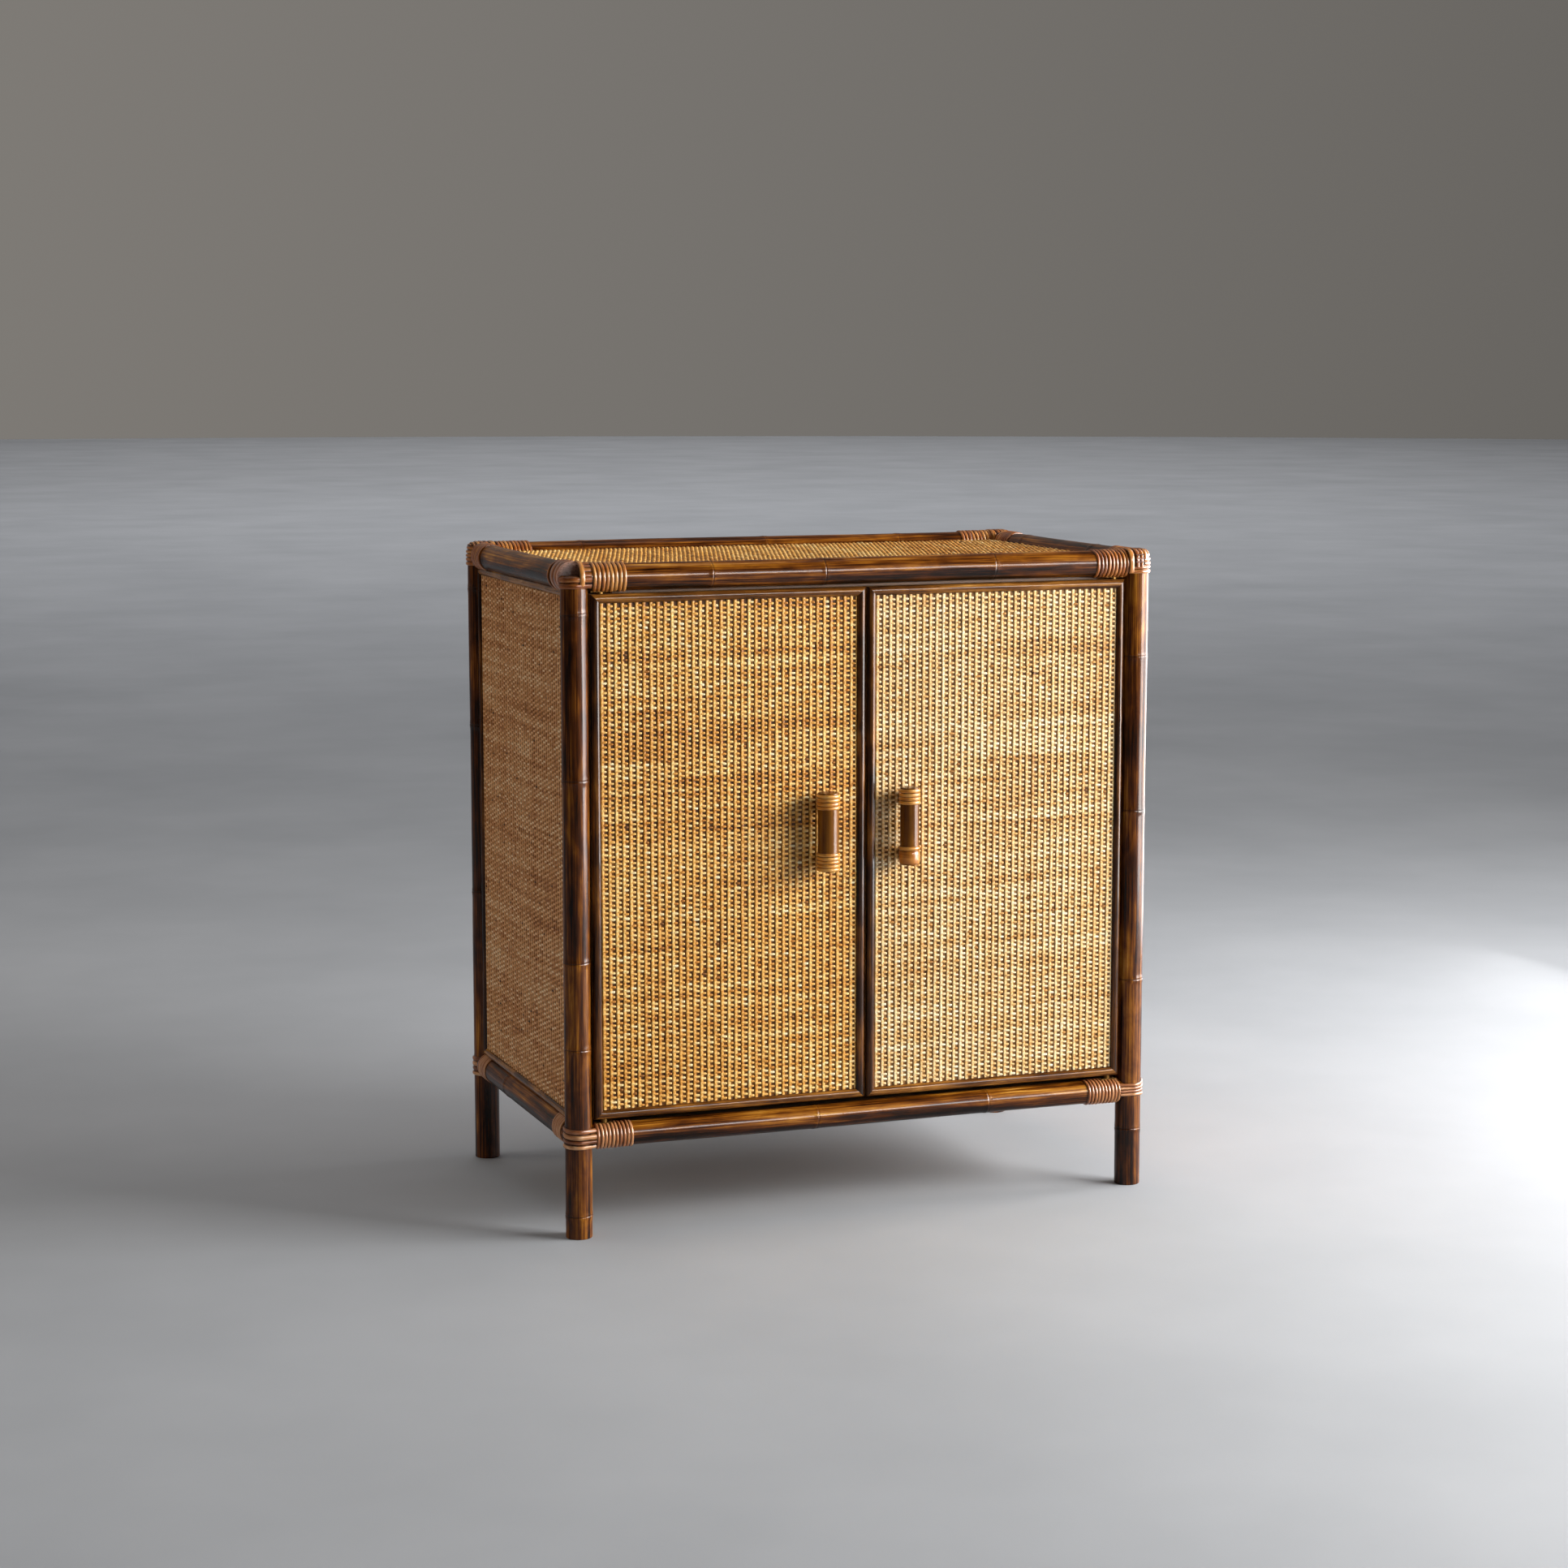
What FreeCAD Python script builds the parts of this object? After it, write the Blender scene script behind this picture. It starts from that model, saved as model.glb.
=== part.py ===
import FreeCAD, Part
import math
import os
from FreeCAD import Vector as V

os.makedirs("parts", exist_ok=True)

# ---------------------------------------------------------------------------
# Two-door rattan cabinet. Millimetres. +Z up, the doors face -Y, +X to the
# right of somebody who stands in front of it. The model is drawn about the
# middle of the four posts and moved by Y_SHIFT at the end, so that the origin
# is the middle of the whole outline, on the floor.
# ---------------------------------------------------------------------------

# pole frame
POLE_R = 16.0            # posts, top rails and side rails are 32 mm poles
HALF_X = 361.0           # post axes at +-361
HALF_Y = 206.0           # post axes at +-206
Z_TOP = 784.0            # axis height of the top rails
Z_BOT = 124.0            # axis height of the bottom side rails
LOW_R = 14.5             # the bottom front and back rails are thinner poles
LOW_Z = 121.3            # and their axis is a little lower
POST_TOP = 799.0         # posts reach nearly to the top of the rails
POST_TOP_FL = 787.0      # the front left post stops lower, under the side rail's cut end
RAIL_X = HALF_X - 12.0   # half length of the front and back rails, before coping
RAIL_Y = HALF_Y - 13.0   # half length of the side rails, before coping
DOWEL_R = 4.0
DOWEL_IN_POST = 11.0
DOWEL_IN_RAIL = 30.0
TOP_DOWEL_DROP = 5.0     # dowels of the top joints sit below the rail axis

# boards
GROOVE = 5.0             # depth of the board grooves in the poles
SIDE_T = 9.0             # side and back board thickness
SKIN_OUT = 4.1           # outer face of a side board, outside the post axes
WEAVE_T = 1.8            # woven cane mat
TOP_Z0, TOP_Z1 = 779.0, 788.0
TOP_WEAVE_T = 2.0
BOT_Z0, BOT_Z1 = 116.0, 128.0
SHELF_Z0, SHELF_T = 446.0, 16.0
SHELF_FRONT = -176.0
SHELF_PIN_R, SHELF_PIN_L = 2.5, 15.0

# beading
BEAD_W, BEAD_H = 11.0, 5.3
SIDE_BEAD_W = 10.0

# doors
DOOR_OUT = 343.0                     # outer edge of a door, from the middle
DOOR_MEET, DOOR_HALF_GAP = 1.5, 1.3  # the doors meet a little right of the middle
DOOR_Z0, DOOR_Z1 = 141.8, 764.6
DOOR_FACE = -4.5                     # front face of the door board, from the post axes
DOOR_T = 12.0
PIVOT_IN = 13.0                      # pivot axis, in from the door's outer edge
PIN_R = 2.5
BUSH_BORE = 2.55                     # running clearance 0.05 mm on the radius
BUSH_R = 4.0
BUSH_L = 12.5
PIN_IN_DOOR = 11.0
PIN_IN_TOP, PIN_IN_LOW = 6.3, 9.5    # the pins end just short of the rail dowels
PLATE = (22.0, 10.0, 2.0)

# handles
HANDLE_R, HANDLE_L = 13.0, 92.5
HANDLE_X = {"left": -54.6, "right": 50.3}
HANDLE_Z = {"left": 473.2, "right": 475.3}
HANDLE_GAP = 7.0                     # weave to pole
BIND_T = 2.0
SPACER_R = 7.5
SPACER_DZ = 34.0
SCREW_R = 2.0

# lashings of split cane
LASH_T = 2.0

Y_SHIFT = 0.5 * ((HALF_Y - DOOR_FACE + WEAVE_T + HANDLE_GAP + 2 * HANDLE_R + BIND_T)
                 - (HALF_Y + POLE_R + LASH_T))


# ---------------------------------------------------------------------------
# helpers
# ---------------------------------------------------------------------------
def cyl(r, p, d, length):
    return Part.makeCylinder(r, length, V(*p), V(*d))


def box(x0, x1, y0, y1, z0, z1):
    return Part.makeBox(x1 - x0, y1 - y0, z1 - z0, V(x0, y0, z0))


def cut(shape, *tools):
    for t in tools:
        for s in (t if isinstance(t, (list, tuple)) else [t]):
            if not s.isNull() and s.Solids and shape.BoundBox.intersect(s.BoundBox):
                shape = shape.cut(s)
    return shape


def flat(items):
    out = []
    for it in items:
        if isinstance(it, (list, tuple)):
            out += flat(it)
        elif it.ShapeType == "Compound":
            out += it.Solids
        else:
            out.append(it)
    return out


def solids_over(shape, vol=20.0):
    return [s for s in shape.Solids if s.Volume > vol]


PARTS = {}


def put(name, *shapes):
    sol = []
    for s in flat(shapes):
        sol += s.Solids
    PARTS[name] = sol


def mirror_x(s):
    return s.mirror(V(0, 0, 0), V(1, 0, 0))


# half-round strip profile: w wide, h proud, extruded along a direction
def sleeve(axis_p, axis_d, start, length, r_in, t):
    """A closed wrap round a pole."""
    p0 = V(*axis_p) + V(*axis_d) * start
    return cyl(r_in + t, tuple(p0), axis_d, length).cut(cyl(r_in, tuple(p0), axis_d, length))


def strip(p, along, across, out, length, w, h):
    """p: middle of the strip's flat back at its start; the arc stands h off it."""
    a, c, o = V(*along), V(*across), V(*out)
    el = Part.Ellipse(p + c * (w / 2), p + o * h, p)
    e = Part.Arc(el, 0.0, math.pi).toShape()
    p0, p1 = e.valueAt(e.FirstParameter), e.valueAt(e.LastParameter)
    wire = Part.Wire([e, Part.makeLine(p1, p0)])
    return Part.Face(wire).extrude(a * length)


def prism(pts, d):
    f = Part.Face(Part.makePolygon([V(*p) for p in pts] + [V(*pts[0])]))
    return f.extrude(V(*d))


def frame_strips(to3, out, u0, u1, v0, v1, w, h):
    """Four mitred half-round strips round the rectangle u0..u1, v0..v1.
    to3(u, v) gives the point on the board's face, out the face's normal."""
    o = V(*out)
    res = []
    corners = [(u0, v0), (u1, v0), (u1, v1), (u0, v1)]
    inner = [(u0 + w, v0 + w), (u1 - w, v0 + w), (u1 - w, v1 - w), (u0 + w, v1 - w)]
    for i in range(4):
        a, b = corners[i], corners[(i + 1) % 4]
        ai, bi = inner[i], inner[(i + 1) % 4]
        pa, pb = V(*to3(*a)), V(*to3(*b))
        pai = V(*to3(*ai))
        along = (pb - pa)
        length = along.Length
        along = along / length
        # across: from the outer edge to the inner edge
        across = pai - pa
        across = across - along * across.dot(along)
        across = across / across.Length
        mid = pa + across * (w / 2)
        s = strip(mid, along, across, o, length, w, h)
        wedge = prism([tuple(V(*to3(*q)) - o * 0.0) for q in (a, b, bi, ai)], tuple(o * (h + 1)))
        res.append(s.common(wedge))
    return res


def coil(axis_p, axis_d, start, n, pitch, r_in, t, depth=0.7):
    """A wrapped strip: one closed band of n rounded turns about an axis."""
    d = V(*axis_d)
    # built about Z at the origin, then placed
    edges = []
    rb = r_in + t * (1 - depth)
    edges.append(Part.makeLine(V(r_in, 0, 0), V(rb, 0, 0)))
    z = 0.0
    for i in range(n):
        a = V(rb, 0, z)
        b = V(r_in + t, 0, z + pitch / 2)
        c = V(rb, 0, z + pitch)
        edges.append(Part.Arc(a, b, c).toShape())
        z += pitch
    edges.append(Part.makeLine(V(rb, 0, z), V(r_in, 0, z)))
    edges.append(Part.makeLine(V(r_in, 0, z), V(r_in, 0, 0)))
    f = Part.Face(Part.Wire(edges))
    s = f.revolve(V(0, 0, 0), V(0, 0, 1), 360)
    rot = FreeCAD.Rotation(V(0, 0, 1), d)
    pl = FreeCAD.Placement(V(*axis_p) + d * start, rot)
    s.Placement = pl
    return s


# ---------------------------------------------------------------------------
# pole frame
# ---------------------------------------------------------------------------
corner = {"front_left": (-1, -1), "front_right": (1, -1), "back_left": (-1, 1), "back_right": (1, 1)}
post_raw, post_top = {}, {}
for n, (sx, sy) in corner.items():
    top = POST_TOP_FL if n == "front_left" else POST_TOP
    post_top[n] = top
    c = cyl(POLE_R, (sx * HALF_X, sy * HALF_Y, 0), (0, 0, 1), top)
    rim = [e for e in c.Edges if abs(e.BoundBox.ZMin - top) < 1e-6 and abs(e.BoundBox.ZMax - top) < 1e-6]
    low = [e for e in c.Edges if abs(e.BoundBox.ZMin) < 1e-6 and abs(e.BoundBox.ZMax) < 1e-6]
    c = c.makeFillet(5.0 if top > 790 else 2.0, rim)
    c = c.makeChamfer(1.0, low)
    post_raw[n] = c

full_posts = [cyl(POLE_R, (sx * HALF_X, sy * HALF_Y, -5), (0, 0, 1), post_top[n] + 5)
              for n, (sx, sy) in corner.items()]

# side rails first, the front and back rails are coped to them and to the posts
side_end_round = 1.5
rail = {}
for n, sx in (("left", -1), ("right", 1)):
    c = cyl(POLE_R, (sx * HALF_X, -RAIL_Y, Z_TOP), (0, 1, 0), 2 * RAIL_Y)
    rims = [e for e in c.Edges if abs(e.BoundBox.YMax - e.BoundBox.YMin) < 1e-6]
    c = c.makeFillet(side_end_round, rims)
    rail["top_rail_" + n] = cut(c, [post_raw[k] for k in post_raw], )
    c = cyl(POLE_R, (sx * HALF_X, -RAIL_Y, Z_BOT), (0, 1, 0), 2 * RAIL_Y)
    rail["bottom_rail_" + n] = cut(c, full_posts)
for n, sy in (("front", -1), ("back", 1)):
    for lev, z, rad in (("top", Z_TOP, POLE_R), ("bottom", LOW_Z, LOW_R)):
        c = cyl(rad, (-RAIL_X, sy * HALF_Y, z), (1, 0, 0), 2 * RAIL_X)
        tools = [post_raw[k] for k in post_raw] if lev == "top" else full_posts
        c = cut(c, tools, rail[lev + "_rail_left"], rail[lev + "_rail_right"])
        rail["%s_rail_%s" % (lev, n)] = max(c.Solids, key=lambda s: s.Volume)
for k in list(rail):
    rail[k] = max(rail[k].Solids, key=lambda s: s.Volume)

post = dict(post_raw)

# dowels: one from every rail end into its post
dowels = []
for lev, z, zx in (("top", Z_TOP - TOP_DOWEL_DROP, Z_TOP - TOP_DOWEL_DROP), ("bottom", Z_BOT, LOW_Z)):
    for n, (sx, sy) in corner.items():
        # along X, into the front and back rails
        x_post = HALF_X - POLE_R + DOWEL_IN_POST
        x_rail = HALF_X - POLE_R - DOWEL_IN_RAIL
        dx = cyl(DOWEL_R, (sx * x_rail, sy * HALF_Y, zx), (sx, 0, 0), x_post - x_rail)
        y_post = HALF_Y - POLE_R + DOWEL_IN_POST
        y_rail = HALF_Y - POLE_R - DOWEL_IN_RAIL
        dy = cyl(DOWEL_R, (sx * HALF_X, sy * y_rail, z), (0, sy, 0), y_post - y_rail)
        for d, rn in ((dx, "%s_rail_%s" % (lev, "front" if sy < 0 else "back")),
                      (dy, "%s_rail_%s" % (lev, "left" if sx < 0 else "right"))):
            rail[rn] = rail[rn].cut(d)
            post[n] = post[n].cut(d)
            dowels.append(d)

# ---------------------------------------------------------------------------
# boards in grooves
# ---------------------------------------------------------------------------
bx = HALF_X - POLE_R + GROOVE
by = HALF_Y - POLE_R + GROOVE
top_board = box(-bx, bx, -by, by, TOP_Z0, TOP_Z1)
by_low = HALF_Y - LOW_R + 5.5
bottom_board = box(-bx, bx, -by_low, by_low, BOT_Z0, BOT_Z1)
for p in full_posts:
    top_board = top_board.cut(p)
    bottom_board = bottom_board.cut(p)
# the top board stops short of the rail dowels' ends at the corners
top_board = cut(top_board, dowels)
bottom_board = cut(bottom_board, dowels)
top_board = max(top_board.Solids, key=lambda s: s.Volume)
bottom_board = max(bottom_board.Solids, key=lambda s: s.Volume)

bz0 = Z_BOT + POLE_R - GROOVE
bz1 = Z_TOP - POLE_R + GROOVE
x_out = HALF_X + SKIN_OUT
y_out = HALF_Y + SKIN_OUT
left_board = box(-x_out, -x_out + SIDE_T, -by, by, bz0, bz1)
right_board = mirror_x(left_board)
back_board = box(-bx, bx, y_out - SIDE_T, y_out, LOW_Z + LOW_R - GROOVE, bz1)

for k in rail:
    tools = []
    if k.startswith("top"):
        tools.append(top_board)
    else:
        tools.append(bottom_board)
    if k.endswith("left"):
        tools.append(left_board)
    if k.endswith("right"):
        tools.append(right_board)
    if k.endswith("back"):
        tools.append(back_board)
    rail[k] = cut(rail[k], tools)
for k in post:
    post[k] = cut(post[k], left_board if "left" in k else right_board)
    if "back" in k:
        post[k] = post[k].cut(back_board)

# woven mats on the boards, between the beads
wl = box(-x_out - WEAVE_T, -x_out, -(HALF_Y - 26.0), HALF_Y - 26.0,
         Z_BOT + 14.5 + SIDE_BEAD_W, Z_TOP - 13.5 - SIDE_BEAD_W)
left_weave = wl
right_weave = mirror_x(wl)
back_low = LOW_Z + LOW_R - 1.3
back_weave = box(-(HALF_X - 26.0), HALF_X - 26.0, y_out, y_out + WEAVE_T,
                 back_low + SIDE_BEAD_W, Z_TOP - 13.5 - SIDE_BEAD_W)
left_bead = frame_strips(lambda u, v: (-x_out, u, v), (-1, 0, 0),
                         -(HALF_Y - 16.0), HALF_Y - 16.0, Z_BOT + 14.5, Z_TOP - 13.5, SIDE_BEAD_W, 4.9)
left_bead = [cut(s, rail["top_rail_left"], rail["bottom_rail_left"], post["front_left"], post["back_left"])
             for s in left_bead]
left_bead = [max(s.Solids, key=lambda q: q.Volume) for s in left_bead]
right_bead = [mirror_x(s) for s in left_bead]
right_bead = [cut(s, post["front_right"]) for s in right_bead]
right_bead = [max(s.Solids, key=lambda q: q.Volume) for s in right_bead]
back_bead = frame_strips(lambda u, v: (u, y_out, v), (0, 1, 0),
                         -(HALF_X - 16.0), HALF_X - 16.0, back_low, Z_TOP - 13.5, SIDE_BEAD_W, 4.9)
back_bead = [cut(s, rail["top_rail_back"], rail["bottom_rail_back"], post["back_left"], post["back_right"])
             for s in back_bead]
back_bead = [max(s.Solids, key=lambda q: q.Volume) for s in back_bead]
# the top mat stops just inside the lashings, so that a flat thing can lie on all of it
top_in = 17.1
top_weave = box(-(HALF_X - top_in), HALF_X - top_in, -(HALF_Y - top_in), HALF_Y - top_in, TOP_Z1, TOP_Z1 + TOP_WEAVE_T)

# inner shelf on four pins
shelf_x = HALF_X - (SIDE_T - SKIN_OUT) - 1.0
shelf_back = HALF_Y - (SIDE_T - SKIN_OUT) - 1.0
shelf = box(-shelf_x, shelf_x, SHELF_FRONT, shelf_back, SHELF_Z0, SHELF_Z0 + SHELF_T)
for sx in (-1, 1):
    nx0, nx1 = sorted((sx * (HALF_X - POLE_R - 1.5), sx * (HALF_X + 5)))
    shelf = shelf.cut(box(nx0, nx1, HALF_Y - POLE_R - 1.5, HALF_Y + 5, SHELF_Z0 - 5, SHELF_Z0 + 30))
shelf_pins = []
pin_in = 7.0
for sx in (-1, 1):
    for y in (-130.0, 130.0):
        x_face = HALF_X - (SIDE_T - SKIN_OUT)
        p = cyl(SHELF_PIN_R, (sx * (x_face + pin_in), y, SHELF_Z0 - SHELF_PIN_R), (-sx, 0, 0), SHELF_PIN_L)
        shelf_pins.append(p)
left_board = cut(left_board, shelf_pins)
right_board = cut(right_board, shelf_pins)

# door stop batten behind the doors' top edge, with the double magnetic catch under it
door_back = -HALF_Y + DOOR_FACE + DOOR_T
stop_x = HALF_X - 49.0
batten = box(-stop_x, stop_x, door_back + 0.5, door_back + 15.5, 750.0, TOP_Z0)
batten = cut(batten, rail["top_rail_front"])
batten = max(batten.Solids, key=lambda s: s.Volume)
case = box(-32, 32, door_back + 2.0, door_back + 17.0, 738.0, 750.0)
case = cut(case, [box(sx * 17 - 9, sx * 17 + 9, door_back + 1.9, door_back + 11.0, 740.0, 748.0) for sx in (-1, 1)])
magnets = [box(sx * 17 - 9, sx * 17 + 9, door_back + 1.6, door_back + 11.0, 740.0, 748.0) for sx in (-1, 1)]
catch_screws = []
for x in (-29.0, 0.0, 29.0):
    s = cyl(1.6, (x, door_back + 11.5, 738.0), (0, 0, 1), 26.0)
    s = s.fuse(Part.makeCone(3.0, 1.6, 1.8, V(x, door_back + 11.5, 738.0), V(0, 0, 1)))
    catch_screws.append(s.removeSplitter())
case = cut(case, catch_screws)
batten = cut(batten, catch_screws)

# ---------------------------------------------------------------------------
# doors: alike but for the place of the handle
# ---------------------------------------------------------------------------
yf = -HALF_Y + DOOR_FACE
pivot_x = DOOR_OUT - PIVOT_IN
pivot_pins, pivot_plates, pivot_washers = [], [], []
rail_top_of_bottom = LOW_Z + LOW_R
rail_low_of_top = Z_TOP - POLE_R
for sx in (-1, 1):
    px = sx * pivot_x
    # bottom
    zb = rail_top_of_bottom + 1.5
    x0, x1 = sorted((px - sx * (PLATE[0] - 12.0), px + sx * 12.0))
    pl = box(x0, x1, -HALF_Y - PLATE[1] / 2, -HALF_Y + PLATE[1] / 2, zb - PLATE[2], zb)
    pin_low = rail_top_of_bottom - PIN_IN_LOW
    pin = cyl(PIN_R, (px, -HALF_Y, pin_low), (0, 0, 1), DOOR_Z0 + PIN_IN_DOOR - pin_low)
    was = cyl(4.5, (px, -HALF_Y, zb), (0, 0, 1), DOOR_Z0 - 0.35 - zb).cut(pin)
    pivot_plates.append(pl.cut(pin))
    pivot_pins.append(pin)
    pivot_washers.append(was)
    rail["bottom_rail_front"] = rail["bottom_rail_front"].cut(pl).cut(pin)
    # top
    zt = rail_low_of_top - 1.0
    pl = box(x0, x1, -HALF_Y - PLATE[1] / 2, -HALF_Y + PLATE[1] / 2, zt, zt + PLATE[2])
    pin_high = rail_low_of_top + PIN_IN_TOP
    pin = cyl(PIN_R, (px, -HALF_Y, DOOR_Z1 - PIN_IN_DOOR), (0, 0, 1), pin_high - (DOOR_Z1 - PIN_IN_DOOR))
    was = cyl(4.5, (px, -HALF_Y, DOOR_Z1 + 0.35), (0, 0, 1), zt - DOOR_Z1 - 0.35).cut(pin)
    pivot_plates.append(pl.cut(pin))
    pivot_pins.append(pin)
    pivot_washers.append(was)
    rail["top_rail_front"] = rail["top_rail_front"].cut(pl).cut(pin)
rail["bottom_rail_front"] = max(rail["bottom_rail_front"].Solids, key=lambda s: s.Volume)
rail["top_rail_front"] = max(rail["top_rail_front"].Solids, key=lambda s: s.Volume)

door = {}
for side, sx in (("left", -1), ("right", 1)):
    x0, x1 = sorted((sx * DOOR_OUT, DOOR_MEET + sx * DOOR_HALF_GAP))
    board = box(x0, x1, yf, yf + DOOR_T, DOOR_Z0, DOOR_Z1)
    bushes = []
    px = sx * pivot_x
    for z in (DOOR_Z0, DOOR_Z1 - BUSH_L):
        outer = cyl(BUSH_R, (px, -HALF_Y, z), (0, 0, 1), BUSH_L)
        board = board.cut(outer)
        bushes.append(outer.cut(cyl(BUSH_BORE, (px, -HALF_Y, z - 1), (0, 0, 1), BUSH_L + 2)))
    weave = box(x0 + BEAD_W, x1 - BEAD_W, yf - WEAVE_T, yf, DOOR_Z0 + BEAD_W, DOOR_Z1 - BEAD_W)
    beads = frame_strips(lambda u, v: (u, yf, v), (0, -1, 0), x0, x1, DOOR_Z0, DOOR_Z1, BEAD_W, BEAD_H)
    # handle
    hx, hz = HANDLE_X[side], HANDLE_Z[side]
    hy = yf - WEAVE_T - HANDLE_GAP - HANDLE_R
    pole = cyl(HANDLE_R, (hx, hy, hz - HANDLE_L / 2), (0, 0, 1), HANDLE_L)
    rims = [e for e in pole.Edges if abs(e.BoundBox.ZMax - e.BoundBox.ZMin) < 1e-6]
    pole = pole.makeFillet(1.0, rims)
    spacers, screws = [], []
    for s in (-1, 1):
        sp = cyl(SPACER_R, (hx, hy, hz + s * SPACER_DZ), (0, 1, 0), yf - WEAVE_T - hy).cut(
            cyl(HANDLE_R, (hx, hy, hz - 80), (0, 0, 1), 160))
        sp = max(sp.Solids, key=lambda q: q.Volume)
        y_head = yf + DOOR_T
        scr = cyl(SCREW_R, (hx, y_head + 0.5, hz + s * SPACER_DZ), (0, -1, 0), y_head - hy + 0.5 + 3.0)
        head = cyl(4.0, (hx, y_head, hz + s * SPACER_DZ), (0, 1, 0), 2.4)
        scr = scr.fuse(head).removeSplitter()
        spacers.append(sp.cut(scr))
        screws.append(scr)
        pole = pole.cut(scr)
        board = board.cut(scr)
        weave = weave.cut(scr)
    binds = [coil((hx, hy, hz), (0, 0, 1), HANDLE_L / 2 - 3.0 - 4 * 4.6, 4, 4.6, HANDLE_R, BIND_T),
             coil((hx, hy, hz), (0, 0, 1), -HANDLE_L / 2 + 0.2, 5, 4.5, HANDLE_R, BIND_T)]
    binds = [max(cut(b, spacers, screws).Solids, key=lambda q: q.Volume) for b in binds]
    strike = box(sx * 17 - 11, sx * 17 + 11, yf + DOOR_T, yf + DOOR_T + 1.1, 738.0, 750.0)
    put(side + "_door_board", board)
    put(side + "_door_weave", weave)
    put(side + "_door_beading", beads)
    put(side + "_handle_pole", pole)
    put(side + "_handle_bindings", binds)
    put(side + "_handle_spacers", spacers)
    put(side + "_handle_screws", screws)
    put(side + "_pivot_bushes", bushes)
    put(side + "_strike_plate", strike)

# ---------------------------------------------------------------------------
# cane lashings at the eight corners
# ---------------------------------------------------------------------------
# turns and pitch on the front or back rail, turns and pitch on the side rail,
# and the bands round the post: (first height, turns, pitch)
LASH = {
    "top_front_left": (8, 5.2, 8, 5.2, (-13.0, 2, 7.2)),
    "top_front_right": (8, 6.2, 8, 5.2, (-13.0, 6, 4.9)),
    "top_back_left": (8, 5.4, 8, 5.2, (-13.0, 6, 4.9)),
    "top_back_right": (8, 5.4, 8, 5.2, (-13.0, 6, 4.9)),
    "bottom_front_left": (10, 4.6, 7, 5.2, (-13.3, 4, 5.6)),
    "bottom_front_right": (10, 4.6, 7, 5.2, (-10.3, 4, 6.1)),
    "bottom_back_left": (9, 5.1, 7, 5.2, (-12.3, 4, 6.1)),
    "bottom_back_right": (9, 5.1, 7, 5.2, (-12.3, 4, 6.1)),
}
beads_all = left_bead + right_bead + back_bead
for n, (nx, px_, ny, py_, (bz, nb, pb)) in LASH.items():
    lev, fb, lr = n.split("_")
    sx = -1 if lr == "left" else 1
    sy = -1 if fb == "front" else 1
    z = Z_TOP if lev == "top" else Z_BOT
    zx, rx = (Z_TOP, POLE_R) if lev == "top" else (LOW_Z, LOW_R)
    px0 = HALF_X - POLE_R - LASH_T - 0.1
    wx = sleeve((sx * px0, sy * HALF_Y, zx), (-sx, 0, 0), 0.0, nx * px_, rx, LASH_T)
    py0 = HALF_Y - POLE_R - LASH_T - 0.1
    wy = sleeve((sx * HALF_X, sy * py0, z), (0, -sy, 0), 0.0, ny * py_, POLE_R, LASH_T)
    bd = sleeve((sx * HALF_X, sy * HALF_Y, zx), (0, 0, 1), bz, nb * pb, POLE_R, LASH_T)
    r_fb, r_lr = rail["%s_rail_%s" % (lev, fb)], rail["%s_rail_%s" % (lev, lr)]
    side = [left_board, left_weave] + left_bead if lr == "left" else [right_board, right_weave] + right_bead
    level = [top_board, top_weave] if lev == "top" else [bottom_board]
    back = back_bead + [back_board, back_weave] if fb == "back" else []
    front = pivot_plates + pivot_pins + pivot_washers + [batten] if fb == "front" else []
    # every wrap is closed round its own pole, and is cut where a board passes
    wx = cut(wx, level, back, front)
    wy = cut(wy, level, side)
    bd = cut(bd, r_fb, r_lr, level, side, back)
    # what is left in the rails' dowel holes goes, since the dowels are there
    bd = [q for q in solids_over(bd) if not any(d.isInside(q.CenterOfMass, 0.01, True) for d in dowels)]
    put(n + "_lashing", solids_over(wx), solids_over(wy), bd)

# ---------------------------------------------------------------------------
# the rest of the nodes
# ---------------------------------------------------------------------------
for n in post:
    put("post_" + n, max(post[n].Solids, key=lambda s: s.Volume))
for n in rail:
    put(n, max(rail[n].Solids, key=lambda s: s.Volume))
put("joint_dowels", dowels)
put("top_board", top_board)
put("top_weave", top_weave)
put("bottom_board", bottom_board)
put("left_side_board", left_board)
put("right_side_board", right_board)
put("back_board", back_board)
put("left_side_weave", left_weave)
put("right_side_weave", right_weave)
put("back_weave", back_weave)
put("left_side_beading", left_bead)
put("right_side_beading", right_bead)
put("back_beading", back_bead)
put("shelf", shelf)
put("shelf_pins", shelf_pins)
put("door_stop_batten", batten)
put("catch_case", case)
put("catch_magnets", magnets)
put("catch_screws", catch_screws)
put("pivot_plates", pivot_plates)
put("pivot_pins", pivot_pins)
put("pivot_washers", pivot_washers)

bb = None
for n in sorted(PARTS):
    sol = PARTS[n]
    assert sol, n
    s = sol[0] if len(sol) == 1 else Part.makeCompound(sol)
    s = s.copy()
    s.translate(V(0, Y_SHIFT, 0))
    ok = all(q.isValid() and q.isClosed() for q in s.Solids)
    s.exportStep("parts/%s.step" % n)
    b = s.BoundBox
    bb = b if bb is None else bb.united(b)
    print("%-30s solids %2d vol %10.1f %s" % (n, len(s.Solids), s.Volume, "" if ok else "INVALID"))
print("nodes", len(PARTS), "y shift", Y_SHIFT)
print("box", bb)
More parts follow.
